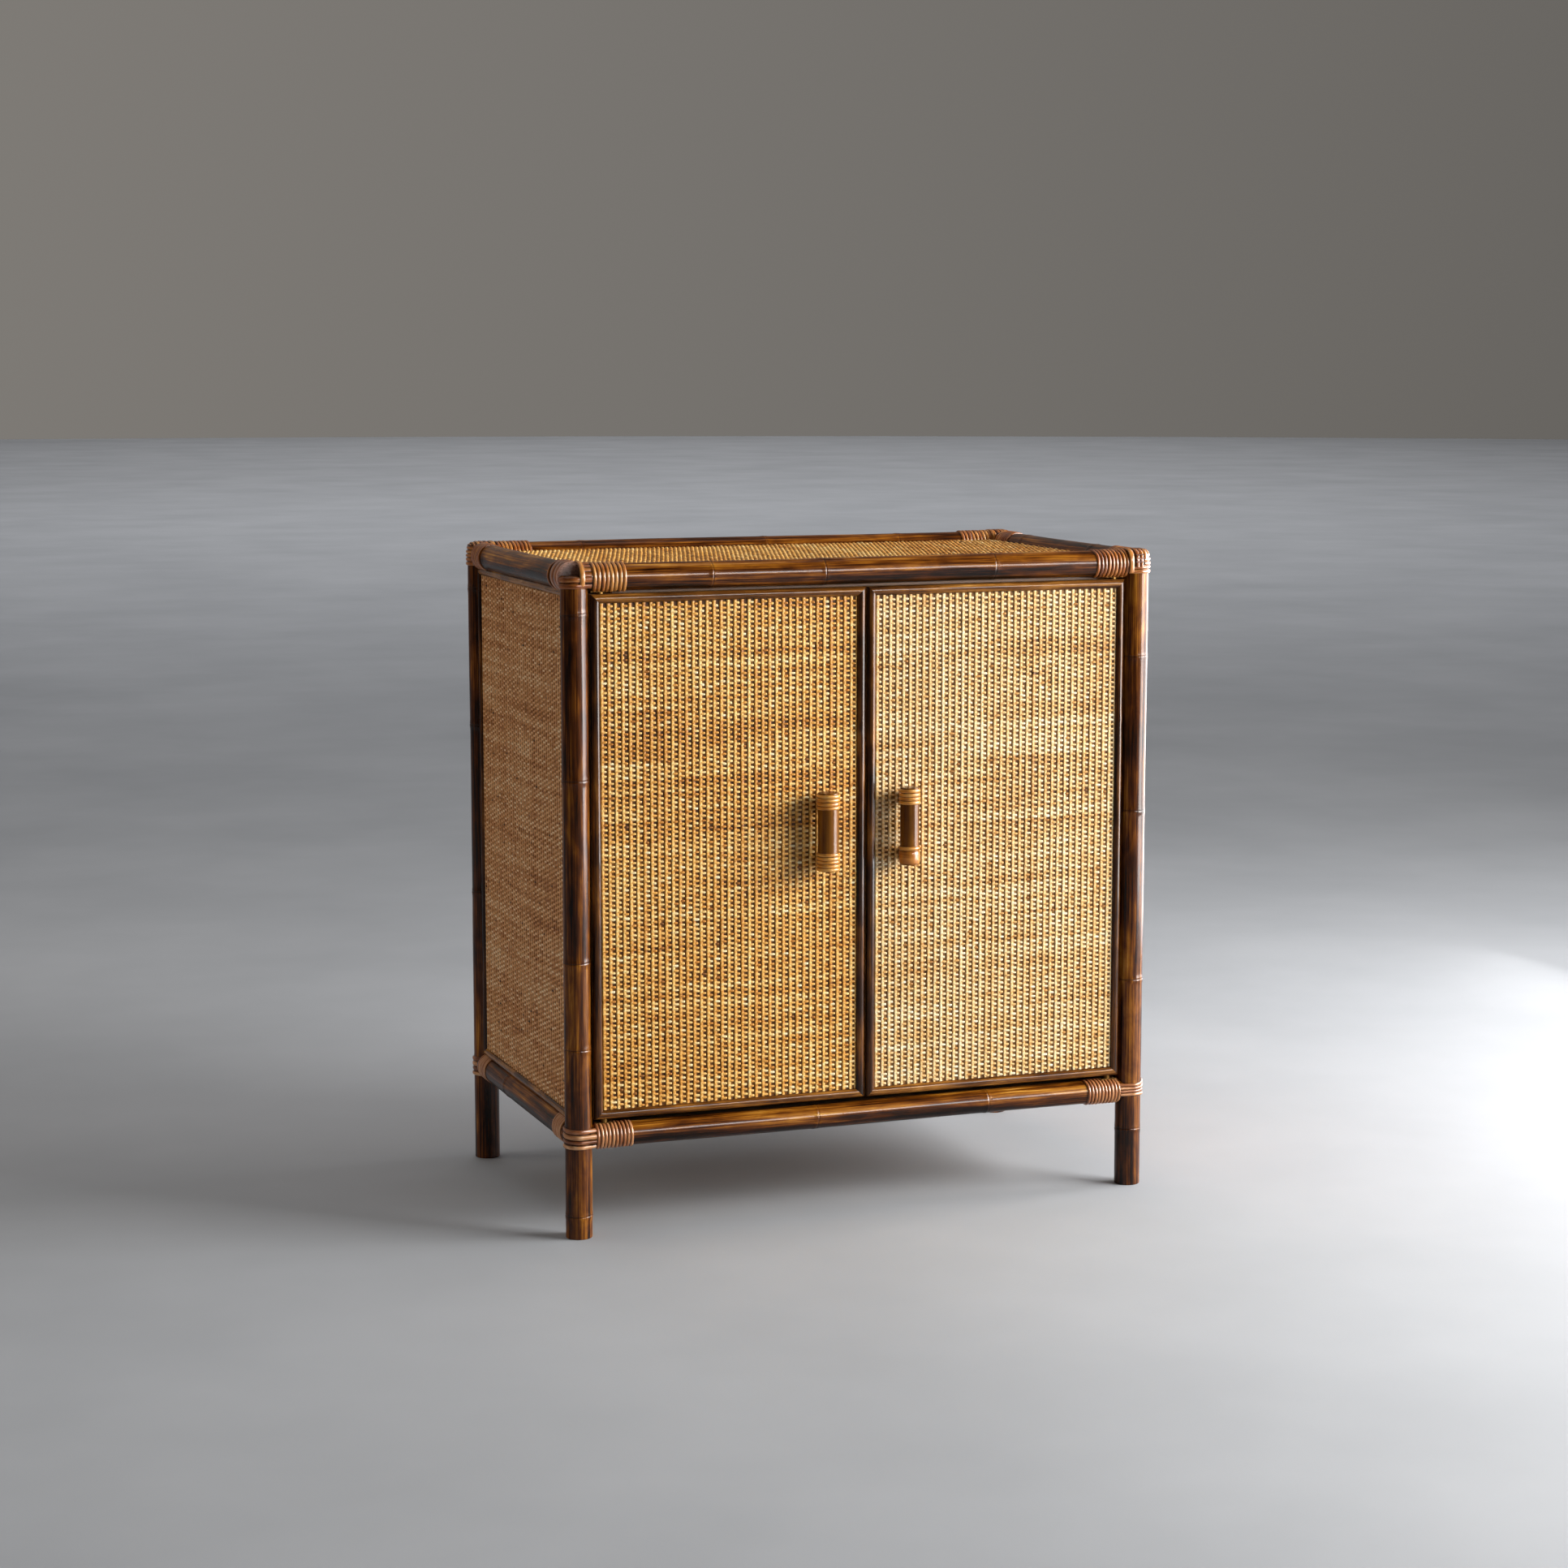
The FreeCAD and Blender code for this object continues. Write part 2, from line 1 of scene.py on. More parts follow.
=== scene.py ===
import math
import bpy
import numpy as np
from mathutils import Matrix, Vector


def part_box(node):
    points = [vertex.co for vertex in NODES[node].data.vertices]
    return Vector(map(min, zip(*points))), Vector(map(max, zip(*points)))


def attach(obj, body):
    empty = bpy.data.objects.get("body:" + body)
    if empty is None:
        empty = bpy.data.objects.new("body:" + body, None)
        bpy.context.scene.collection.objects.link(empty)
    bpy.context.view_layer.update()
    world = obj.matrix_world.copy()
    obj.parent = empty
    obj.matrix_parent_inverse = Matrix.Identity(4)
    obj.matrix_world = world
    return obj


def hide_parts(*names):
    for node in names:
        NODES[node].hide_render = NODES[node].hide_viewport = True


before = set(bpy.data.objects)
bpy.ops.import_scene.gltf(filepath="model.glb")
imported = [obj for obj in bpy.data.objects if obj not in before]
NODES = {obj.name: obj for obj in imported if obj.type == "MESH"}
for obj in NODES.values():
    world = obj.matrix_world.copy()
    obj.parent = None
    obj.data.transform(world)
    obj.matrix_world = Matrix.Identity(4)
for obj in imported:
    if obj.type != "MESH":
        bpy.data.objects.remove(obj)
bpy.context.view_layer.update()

# ---------------------------------------------------------------------------
# Sizes in millimetres, about the middle of the four posts. YS moves them into
# the part's frame, where the origin is the middle of the whole outline.
# ---------------------------------------------------------------------------
lo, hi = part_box("post_front_left")
YS = (lo.y + hi.y) / 2 * 1000.0 + 206.0
HX, HY, R = 361.0, 206.0, 16.0
ZT, ZB = 784.0, 124.0          # axes of the top rails and of the low side rails
ZL, RL = 121.3, 14.5           # axis and radius of the low front and back rails
LX0, LX1 = -343.0, 0.2         # the left door's edges, then the right door's
RX0, RX1 = 2.8, 343.0
DZ0, DZ1 = 141.8, 764.6
BW = 11.0                      # width of the doors' beads
YF = -HY - 4.5
XO, YO = HX + 4.1, HY + 4.1


def to_m(v):
    v = np.asarray(v, float).reshape(-1, 3).copy()
    v[:, 1] += YS
    return v / 1000.0


# ---------------------------------------------------------------------------
# smooth seeded noise
# ---------------------------------------------------------------------------
def vnoise1(x, step, seed):
    """Smooth noise of one variable in -1..1, with knots every step."""
    x = np.asarray(x, float) / step
    i = np.floor(x).astype(int)
    f = x - i
    f = f * f * (3 - 2 * f)
    rng = np.random.default_rng(seed)
    table = rng.uniform(-1, 1, 4096)
    return table[i % 4096] * (1 - f) + table[(i + 1) % 4096] * f


def vnoise2(x, y, sx, sy, seed):
    x = np.asarray(x, float) / sx
    y = np.asarray(y, float) / sy
    i, j = np.floor(x).astype(int), np.floor(y).astype(int)
    fx, fy = x - i, y - j
    fx, fy = fx * fx * (3 - 2 * fx), fy * fy * (3 - 2 * fy)
    t = np.random.default_rng(seed).uniform(-1, 1, (256, 256))
    a = t[i % 256, j % 256] * (1 - fx) + t[(i + 1) % 256, j % 256] * fx
    b = t[i % 256, (j + 1) % 256] * (1 - fx) + t[(i + 1) % 256, (j + 1) % 256] * fx
    return a * (1 - fy) + b * fy


# ---------------------------------------------------------------------------
# meshes
# ---------------------------------------------------------------------------
class Build:
    """Collects vertices, faces and point attributes of one piece."""

    def __init__(self):
        self.v, self.f4, self.f3, self.a, self.n = [], [], [], {}, 0

    def add(self, v, f4=None, f3=None, **attrs):
        v = np.asarray(v, float).reshape(-1, 3)
        k = len(v)
        self.v.append(v)
        if f4 is not None and len(f4):
            self.f4.append(np.asarray(f4, int).reshape(-1, 4) + self.n)
        if f3 is not None and len(f3):
            self.f3.append(np.asarray(f3, int).reshape(-1, 3) + self.n)
        for name, val in attrs.items():
            val = np.asarray(val, float)
            if val.ndim == 0:
                val = np.full(k, float(val))
            self.a.setdefault(name, []).append((self.n, val))
        self.n += k

    def make(self, name, mat, body, cad=(), smooth=True, uv=None):
        v = to_m(np.concatenate(self.v))
        f4 = np.concatenate(self.f4) if self.f4 else np.zeros((0, 4), int)
        f3 = np.concatenate(self.f3) if self.f3 else np.zeros((0, 3), int)
        me = bpy.data.meshes.new(name)
        me.vertices.add(len(v))
        me.vertices.foreach_set("co", v.astype(np.float32).ravel())
        nl = f4.size + f3.size
        me.loops.add(nl)
        me.loops.foreach_set("vertex_index", np.concatenate([f4.ravel(), f3.ravel()]).astype(np.int32))
        me.polygons.add(len(f4) + len(f3))
        start = np.concatenate([np.arange(len(f4)) * 4, f4.size + np.arange(len(f3)) * 3])
        me.polygons.foreach_set("loop_start", start.astype(np.int32))
        me.update(calc_edges=True)
        me.validate()
        me.polygons.foreach_set("use_smooth", np.full(len(me.polygons), smooth))
        for an, parts in self.a.items():
            dim = 3 if parts[0][1].ndim == 2 else 1
            full = np.zeros((len(v), dim), np.float32)
            for at, val in parts:
                full[at:at + len(val)] = val.reshape(-1, dim)
            if dim == 3:
                at = me.attributes.new(an, "FLOAT_VECTOR", "POINT")
                at.data.foreach_set("vector", full.ravel())
            else:
                at = me.attributes.new(an, "FLOAT", "POINT")
                at.data.foreach_set("value", full.ravel())
        if uv is not None:
            layer = me.uv_layers.new(name="OFBake")
            idx = np.zeros(len(me.loops), np.int32)
            me.loops.foreach_get("vertex_index", idx)
            layer.data.foreach_set("uv", uv(v)[idx].astype(np.float32).ravel())
        me.materials.append(mat)
        ob = bpy.data.objects.new(name, me)
        bpy.context.scene.collection.objects.link(ob)
        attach(ob, body)
        if cad:
            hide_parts(*([cad] if isinstance(cad, str) else cad))
        return ob


def grid_faces(n, m, wrap_m=False, flip=False):
    """Quads of an n by m grid of points, the second index running fastest."""
    i, j = np.meshgrid(np.arange(n - 1), np.arange(m if wrap_m else m - 1), indexing="ij")
    j2 = (j + 1) % m
    q = np.stack([i * m + j, i * m + j2, (i + 1) * m + j2, (i + 1) * m + j], -1).reshape(-1, 4)
    return q[:, ::-1] if flip else q


def unit(v):
    v = np.asarray(v, float)
    return v / np.linalg.norm(v)


# ---------------------------------------------------------------------------
# materials
# ---------------------------------------------------------------------------
def srgb(*c):
    out = []
    for x in c:
        x = x / 255.0
        out.append(x / 12.92 if x <= 0.04045 else ((x + 0.055) / 1.055) ** 2.4)
    return tuple(out) + (1.0,)


class Mat:
    def __init__(self, name):
        self.m = bpy.data.materials.new(name)
        self.m.use_nodes = True
        self.nt = self.m.node_tree
        self.p = self.nt.nodes["Principled BSDF"]

    def node(self, kind, **kw):
        n = self.nt.nodes.new(kind)
        for k, v in kw.items():
            setattr(n, k, v)
        return n

    def link(self, a, b):
        self.nt.links.new(a, b)

    def attr(self, name, out="Fac"):
        return self.node("ShaderNodeAttribute", attribute_name=name).outputs[out]

    def obj(self):
        return self.node("ShaderNodeTexCoord").outputs["Object"]

    def mapping(self, vec, scale, loc=(0, 0, 0)):
        m = self.node("ShaderNodeMapping")
        m.inputs["Scale"].default_value = scale
        m.inputs["Location"].default_value = loc
        self.link(vec, m.inputs["Vector"])
        return m.outputs["Vector"]

    def noise(self, vec, scale, detail=3.0, rough=0.55, dist=0.0):
        n = self.node("ShaderNodeTexNoise")
        n.inputs["Scale"].default_value = scale
        n.inputs["Detail"].default_value = detail
        n.inputs["Roughness"].default_value = rough
        n.inputs["Distortion"].default_value = dist
        self.link(vec, n.inputs["Vector"])
        return n.outputs["Fac"]

    def math(self, op, a, b=None, clamp=False):
        n = self.node("ShaderNodeMath", operation=op, use_clamp=clamp)
        for k, x in ((0, a), (1, b)):
            if x is None:
                continue
            if isinstance(x, (int, float)):
                n.inputs[k].default_value = x
            else:
                self.link(x, n.inputs[k])
        return n.outputs[0]

    def ramp(self, fac, stops):
        n = self.node("ShaderNodeValToRGB")
        cr = n.color_ramp
        while len(cr.elements) > 1:
            cr.elements.remove(cr.elements[-1])
        cr.elements[0].position = stops[0][0]
        cr.elements[0].color = stops[0][1]
        for pos, col in stops[1:]:
            e = cr.elements.new(pos)
            e.color = col
        self.link(fac, n.inputs["Fac"])
        return n.outputs["Color"]

    def mix(self, fac, a, b, mode="MIX"):
        n = self.node("ShaderNodeMix", data_type="RGBA", blend_type=mode)
        ins = {"f": n.inputs[0], "a": n.inputs[6], "b": n.inputs[7]}
        for k, x in (("f", fac), ("a", a), ("b", b)):
            if isinstance(x, (int, float, tuple)):
                ins[k].default_value = x
            else:
                self.link(x, ins[k])
        return n.outputs[2]

    def maprange(self, x, a, b, c, d):
        n = self.node("ShaderNodeMapRange")
        for i, val in enumerate((a, b, c, d)):
            n.inputs[i + 1].default_value = val
        self.link(x, n.inputs[0])
        return n.outputs[0]

    def bump(self, height, strength, distance):
        n = self.node("ShaderNodeBump")
        n.inputs["Strength"].default_value = strength
        n.inputs["Distance"].default_value = distance
        self.link(height, n.inputs["Height"])
        self.link(n.outputs["Normal"], self.p.inputs["Normal"])

    def set(self, **kw):
        for k, v in kw.items():
            self.p.inputs[k.replace("_", " ")].default_value = v


def pole_material(name, stops, streak=0.70, blotch=0.36, rough=(0.22, 0.40), coat=0.36):
    """Stained rattan: long streaks along the pole, blotches, dark node lines."""
    m = Mat(name)
    loc = m.attr("loc", "Vector")
    tone = m.attr("tone")
    line = m.attr("line")
    s1 = m.noise(m.mapping(loc, (520, 520, 11)), 1.0, 4.0, 0.6)
    s2 = m.noise(m.mapping(loc, (170, 170, 7), (3, 1, 5)), 1.0, 3.0, 0.6, 0.4)
    b1 = m.noise(m.mapping(loc, (42, 42, 16), (7, 2, 1)), 1.0, 3.0, 0.6, 0.8)
    f = m.math("ADD", m.math("MULTIPLY", m.math("SUBTRACT", s1, 0.5), streak * 1.5),
               m.math("MULTIPLY", m.math("SUBTRACT", s2, 0.5), streak * 1.5))
    f = m.math("ADD", f, m.math("MULTIPLY", m.math("SUBTRACT", b1, 0.5), blotch * 1.8))
    f = m.math("ADD", f, tone, clamp=True)
    col = m.ramp(f, stops)
    col = m.mix(m.math("MULTIPLY", line, 0.75, clamp=True), col, (0.012, 0.005, 0.002, 1.0))
    m.link(col, m.p.inputs["Base Color"])
    m.link(m.maprange(s2, 0.3, 0.7, rough[0], rough[1]), m.p.inputs["Roughness"])
    m.set(Coat_Weight=coat, Coat_Roughness=0.13, Coat_IOR=1.5, IOR=1.5, Specular_IOR_Level=0.08)
    m.bump(m.math("ADD", s1, m.math("MULTIPLY", s2, 0.6)), 0.16, 0.0004)
    return m.m


POLE_STOPS = [(0.0, srgb(14, 4, 0)), (0.22, srgb(36, 14, 1)), (0.45, srgb(82, 39, 5)), (0.62, srgb(124, 70, 13)),
              (0.78, srgb(163, 103, 27)), (0.9, srgb(191, 132, 46)), (1.0, srgb(213, 160, 78))]
BEAD_STOPS = [(0.0, srgb(18, 7, 2)), (0.3, srgb(56, 28, 7)), (0.55, srgb(108, 64, 20)),
              (0.8, srgb(168, 112, 44)), (1.0, srgb(222, 172, 96))]
HANDLE_STOPS = [(0.0, srgb(50, 26, 4)), (0.35, srgb(98, 56, 8)), (0.6, srgb(136, 84, 16)),
                (0.85, srgb(186, 128, 38)), (1.0, srgb(216, 166, 80))]
M_POLE = pole_material("stained_rattan_pole", POLE_STOPS)
M_POLE_SOFT = pole_material("stained_rattan_pole_soft", POLE_STOPS, coat=0.22)
M_BEAD = pole_material("half_round_bead", BEAD_STOPS, 0.62, 0.30, (0.18, 0.34), 0.38)
M_HANDLE = pole_material("handle_rattan", HANDLE_STOPS, 0.25, 0.16, (0.22, 0.34), 0.35)


def cane_material(name, stops, rough=(0.24, 0.38), coat=0.62, streak=0.7):
    """Split cane strip: fine fibres along it, each turn its own tone."""
    m = Mat(name)
    loc = m.attr("loc", "Vector")
    tone = m.attr("tone")
    s1 = m.noise(m.mapping(loc, (1500, 400, 26)), 1.0, 3.0, 0.6)
    s2 = m.noise(m.mapping(loc, (260, 100, 55), (2, 5, 1)), 1.0, 3.0, 0.55, 0.3)
    f = m.math("ADD", m.math("MULTIPLY", m.math("SUBTRACT", s1, 0.5), streak),
               m.math("MULTIPLY", m.math("SUBTRACT", s2, 0.5), streak))
    f = m.math("ADD", f, tone, clamp=True)
    col = m.ramp(f, stops)
    # painted shade: the strip's colour is pulled to the darkest stop towards its edges, in the grooves between turns
    # and against the pole
    edge = m.attr("edge")
    col = m.mix(m.math("MULTIPLY", edge, 0.8, clamp=True), col, stops[0][1])
    m.link(col, m.p.inputs["Base Color"])
    m.link(m.maprange(s2, 0.3, 0.7, rough[0], rough[1]), m.p.inputs["Roughness"])
    m.set(Coat_Weight=coat, Coat_Roughness=0.14, Coat_IOR=1.5, IOR=1.45, Specular_IOR_Level=0.25)
    m.bump(s1, 0.18, 0.0003)
    return m.m


LASH_STOPS = [(0.0, srgb(40, 14, 5)), (0.3, srgb(104, 50, 16)), (0.55, srgb(164, 92, 36)),
              (0.8, srgb(206, 140, 68)), (1.0, srgb(238, 190, 126))]
LASH_LOW_STOPS = [(0.0, srgb(44, 18, 9)), (0.3, srgb(112, 60, 32)), (0.55, srgb(168, 104, 60)),
                  (0.8, srgb(208, 150, 100)), (1.0, srgb(240, 200, 160))]
BIND_STOPS = [(0.0, srgb(112, 56, 12)), (0.35, srgb(184, 112, 34)), (0.6, srgb(220, 152, 64)),
              (0.85, srgb(242, 190, 108)), (1.0, srgb(250, 220, 158))]
M_LASH = cane_material("cane_lashing", LASH_STOPS)
M_LASH_LOW = cane_material("cane_lashing_low", LASH_LOW_STOPS)
M_BIND = cane_material("cane_binding", BIND_STOPS)


def weave_material(name, stops, axis_scale, rough=(0.36, 0.55)):
    """Woven cane: every strand its own tone, fibres along the strands."""
    m = Mat(name)
    tone = m.attr("tone")
    deep = m.attr("deep")
    o = m.obj()
    s1 = m.noise(m.mapping(o, axis_scale), 1.0, 3.0, 0.6)
    s2 = m.noise(m.mapping(o, (330, 330, 330), (1, 4, 2)), 1.0, 2.0, 0.5)
    f = m.math("ADD", m.math("MULTIPLY", m.math("SUBTRACT", s1, 0.5), 0.34),
               m.math("MULTIPLY", m.math("SUBTRACT", s2, 0.5), 0.26))
    f = m.math("ADD", f, tone, clamp=True)
    col = m.ramp(f, stops)
    # painted shade: the colour is pulled to the darkest stop in the hollows of the weave
    col = m.mix(deep, col, stops[0][1])
    m.link(col, m.p.inputs["Base Color"])
    m.link(m.maprange(s1, 0.3, 0.7, rough[0], rough[1]), m.p.inputs["Roughness"])
    m.set(Coat_Weight=0.06, Coat_Roughness=0.25, IOR=1.48, Specular_IOR_Level=0.15)
    m.bump(s1, 0.15, 0.0003)
    return m.m


WEAVE_STOPS = [(0.0, srgb(60, 30, 2)), (0.14, srgb(118, 70, 10)), (0.34, srgb(192, 122, 36)),
               (0.56, srgb(236, 172, 80)), (0.78, srgb(252, 210, 130)), (1.0, srgb(255, 240, 192))]
WEAVE_PALE_STOPS = [(0.0, srgb(84, 48, 10)), (0.14, srgb(140, 90, 26)), (0.34, srgb(208, 150, 76)),
                    (0.56, srgb(238, 194, 126)), (0.78, srgb(252, 224, 174)), (1.0, srgb(255, 244, 210))]
WEAVE_SIDE_STOPS = [(0.0, srgb(34, 15, 5)), (0.14, srgb(92, 48, 20)), (0.34, srgb(168, 104, 56)),
                    (0.56, srgb(214, 150, 92)), (0.78, srgb(236, 184, 130)), (1.0, srgb(250, 220, 180))]
M_WEAVE_DOOR = weave_material("woven_cane_left_door", WEAVE_STOPS, (160, 900, 900))
M_WEAVE_PALE = weave_material("woven_cane_right_door", WEAVE_PALE_STOPS, (160, 900, 900))
M_WEAVE_BACK = weave_material("woven_cane_back", WEAVE_SIDE_STOPS, (160, 900, 900))
M_WEAVE_SIDE = weave_material("woven_cane_sides", WEAVE_SIDE_STOPS, (900, 160, 900))
M_WEAVE_TOP = weave_material("woven_cane_top", WEAVE_STOPS, (900, 160, 900))


def board_material(name, c0, c1, c2, scale=(6, 6, 90), rough=(0.42, 0.6), ply=False):
    m = Mat(name)
    o = m.obj()
    big = m.noise(m.mapping(o, scale), 1.0, 5.0, 0.6, 1.2)
    fine = m.noise(m.mapping(o, tuple(x * 9 for x in scale)), 1.0, 3.0, 0.6)
    f = m.math("ADD", m.math("MULTIPLY", big, 0.7), m.math("MULTIPLY", fine, 0.3), clamp=True)
    m.link(m.ramp(f, [(0.25, c0), (0.5, c1), (0.75, c2)]), m.p.inputs["Base Color"])
    m.link(m.maprange(f, 0.3, 0.7, rough[0], rough[1]), m.p.inputs["Roughness"])
    m.bump(fine, 0.12, 0.0004)
    return m.m


M_BOARD = board_material("plywood_board", srgb(122, 84, 46), srgb(158, 116, 70), srgb(184, 142, 92), (9, 9, 60))
M_SHELF = board_material("plywood_shelf", srgb(122, 84, 46), srgb(158, 116, 70), srgb(184, 142, 92), (5, 60, 60))
M_WOOD = board_material("plain_timber", srgb(92, 56, 26), srgb(132, 86, 44), srgb(160, 112, 64), (8, 60, 60))


def metal_material(name, col, rough, brushed=(1, 1, 40)):
    m = Mat(name)
    o = m.obj()
    n = m.noise(m.mapping(o, tuple(s * 60 for s in brushed)), 1.0, 4.0, 0.6)
    dark = tuple(c * 0.72 for c in col[:3]) + (1.0,)
    m.link(m.ramp(n, [(0.3, dark), (0.7, col)]), m.p.inputs["Base Color"])
    m.link(m.maprange(n, 0.3, 0.7, rough[0], rough[1]), m.p.inputs["Roughness"])
    m.set(Metallic=1.0)
    m.bump(n, 0.08, 0.0002)
    return m.m


M_BRASS = metal_material("aged_brass", srgb(92, 66, 32), (0.30, 0.50), (4, 4, 30))
M_STEEL = metal_material("zinc_steel", srgb(196, 198, 200), (0.22, 0.40), (6, 6, 6))


def moulded_material(name, col, rough):
    m = Mat(name)
    o = m.obj()
    n = m.noise(m.mapping(o, (700, 700, 700)), 1.0, 3.0, 0.6)
    lite = tuple(min(1.0, c * 1.25) for c in col[:3]) + (1.0,)
    m.link(m.ramp(n, [(0.35, col), (0.7, lite)]), m.p.inputs["Base Color"])
    m.link(m.maprange(n, 0.3, 0.7, rough[0], rough[1]), m.p.inputs["Roughness"])
    m.bump(n, 0.1, 0.0002)
    return m.m


M_PLASTIC = moulded_material("brown_moulding", srgb(74, 48, 30), (0.42, 0.55))
M_MAGNET = moulded_material("ferrite", srgb(44, 44, 46), (0.5, 0.65))

# ---------------------------------------------------------------------------
# rattan poles
# ---------------------------------------------------------------------------
def pole(name, p0, p1, nodes, seed, cad, body="carcass", r=R, mat=M_POLE, tones=None,
         ends=(0.0, 0.0), bend=0.5, sides=36, wobble=0.010, base=0.46, underside_shade=0.0):
    """A natural pole from p0 to p1: small swellings with a dark ring at each
    node, a slight bend, and a tone of its own between each pair of nodes.
    ends gives the rounding at each cut end, nodes are places along it."""
    p0, p1 = np.asarray(p0, float), np.asarray(p1, float)
    L = np.linalg.norm(p1 - p0)
    d = (p1 - p0) / L
    e1 = unit(np.cross(d, (0.0, 0.0, 1.0))) if abs(d[2]) < 0.9 else np.array([1.0, 0.0, 0.0])
    e2 = np.cross(d, e1)
    s = set(np.linspace(0, L, int(L / 6) + 2).tolist())
    for k in nodes:
        s |= set((k + np.array([-9, -6, -4, -3, -2, -1.2, -0.6, 0, 0.6, 1.2, 1.8, 2.6, 4, 6, 9])).tolist())
    s = np.array(sorted(x for x in s if 0 <= x <= L))
    s = s[np.concatenate([[True], np.diff(s) > 0.25])]
    th = np.linspace(0, 2 * np.pi, sides, endpoint=False)
    S, T = np.meshgrid(s, th, indexing="ij")
    rng = np.random.default_rng(seed)
    rad = r * (1 + wobble * vnoise1(S, 70.0, seed + 1) * 0.6 + wobble * vnoise2(S, np.cos(T) * 10 + 20, 90, 9, seed + 2) * 0.7)
    line = np.zeros_like(S)
    for k in nodes:
        ph, tilt = rng.uniform(0, 6.28), rng.uniform(0.3, 1.5)
        sk = S - k - tilt * np.cos(T - ph)
        rad += 0.55 * np.exp(-(sk / 4.0) ** 2) - 0.42 * np.exp(-((sk - 0.9) / 0.75) ** 2)
        line = np.maximum(line, np.exp(-((sk - 0.9) / 0.8) ** 2) * (0.55 + 0.45 * vnoise2(T, T * 0, 0.6, 1, seed + 5)))
    # every stretch between two nodes has its own tone, with soft patches
    cuts = [0.0] + sorted(nodes) + [L]
    tone = np.zeros_like(S)
    for i in range(len(cuts) - 1):
        t0 = tones[i] if tones else rng.uniform(-0.10, 0.12)
        tone += np.where((S >= cuts[i]) & (S < cuts[i + 1] + (1 if i == len(cuts) - 2 else 0)), t0, 0.0)
    tone += base + 0.13 * vnoise2(S, np.cos(T) * 2 + np.sin(T) * 3 + 40, 70, 1.2, seed + 9)
    tone += 0.07 * vnoise2(S, np.sin(T) * 3 + 12, 22, 1.0, seed + 10)
    # painted shade: on the rails the tone drops the more the surface faces downwards
    tone -= underside_shade * np.clip(0.25 - (np.cos(T) * e1[2] + np.sin(T) * e2[2]), 0, 0.7)
    fade = np.clip(np.sin(np.pi * S / L), 0, 1) ** 0.5
    cx = bend * vnoise1(S, 260.0, seed + 3) * fade
    cy = bend * vnoise1(S, 260.0, seed + 4) * fade
    r_end = rad.copy()
    b = Build()
    P = p0 + S[..., None] * d + (cx + r_end * np.cos(T))[..., None] * e1 + (cy + r_end * np.sin(T))[..., None] * e2
    off = np.array([seed * 1.37 % 7, seed * 0.61 % 5, seed * 0.83 % 3])
    loc = np.stack([rad * np.cos(T), rad * np.sin(T), S], -1) / 1000.0 + off
    n, m = S.shape
    b.add(P.reshape(-1, 3), grid_faces(n, m, True), loc=loc.reshape(-1, 3), tone=tone.ravel(), line=line.ravel())
    # cut ends, rounded over, with darker end grain
    for at, rr, sign in ((0, ends[0], -1), (n - 1, ends[1], 1)):
        steps = [(0.0, 0.0)]
        if rr > 0:
            for a in (25, 50, 70, 90):
                steps.append((rr * (1 - math.cos(math.radians(a))), rr * math.sin(math.radians(a))))
        rings, locs, tn = [], [], []
        rr0 = rad[at]
        for inset, outw in steps:
            q = p0 + (s[at] + sign * outw) * d + (cx[at] + (rr0 - inset) * np.cos(th))[:, None] * e1 \
                + (cy[at] + (rr0 - inset) * np.sin(th))[:, None] * e2
            rings.append(q)
            locs.append(np.stack([(rr0 - inset) * np.cos(th), (rr0 - inset) * np.sin(th), np.full(m, s[at] + sign * outw)], -1) / 1000 + off)
            tn.append(tone[at])
        last_in, last_out = steps[-1]
        for q_r in (0.72, 0.4):
            rings.append(p0 + (s[at] + sign * (last_out + (0.35 if rr > 0 else 0.0) * (1 - q_r))) * d
                         + ((rr0 - last_in) * q_r * np.cos(th))[:, None] * e1 + ((rr0 - last_in) * q_r * np.sin(th))[:, None] * e2)
            locs.append(np.stack([rr0 * q_r * np.cos(th), rr0 * q_r * np.sin(th), np.full(m, s[at])], -1) / 1000 * np.array([1, 1, 1]) + off + 0.3)
            tn.append(tone[at] - 0.12 + 0.05 * rng.uniform(-1, 1, m))
        k = len(rings)
        V = np.concatenate([np.concatenate(rings), (p0 + (s[at] + sign * (last_out + (0.4 if rr > 0 else 0.0))) * d)[None]])
        F = grid_faces(k, m, True, flip=(sign < 0))
        c = k * m
        j = np.arange(m)
        tri = np.stack([(k - 1) * m + j, (k - 1) * m + (j + 1) % m, np.full(m, c)], -1)
        if sign < 0:
            tri = tri[:, ::-1]
        LL = np.concatenate([np.concatenate(locs), (off + 0.3)[None]])
        TT = np.concatenate([np.concatenate(tn), [tone[at].mean() - 0.15]])
        b.add(V, F, tri, loc=LL, tone=TT, line=0.0)
    return b.make(name, mat, body, cad)


def flip_check(ob):
    """Turns a closed piece right side out."""
    me = ob.data
    co = np.zeros(len(me.vertices) * 3)
    me.vertices.foreach_get("co", co)
    co = co.reshape(-1, 3)
    me.calc_loop_triangles()
    t = np.zeros(len(me.loop_triangles) * 3, np.int32)
    me.loop_triangles.foreach_get("vertices", t)
    t = t.reshape(-1, 3)
    c = co.mean(0)
    a, b2, d = co[t[:, 0]] - c, co[t[:, 1]] - c, co[t[:, 2]] - c
    if np.einsum("ij,ij->i", a, np.cross(b2, d)).sum() < 0:
        me.flip_normals()
    return ob


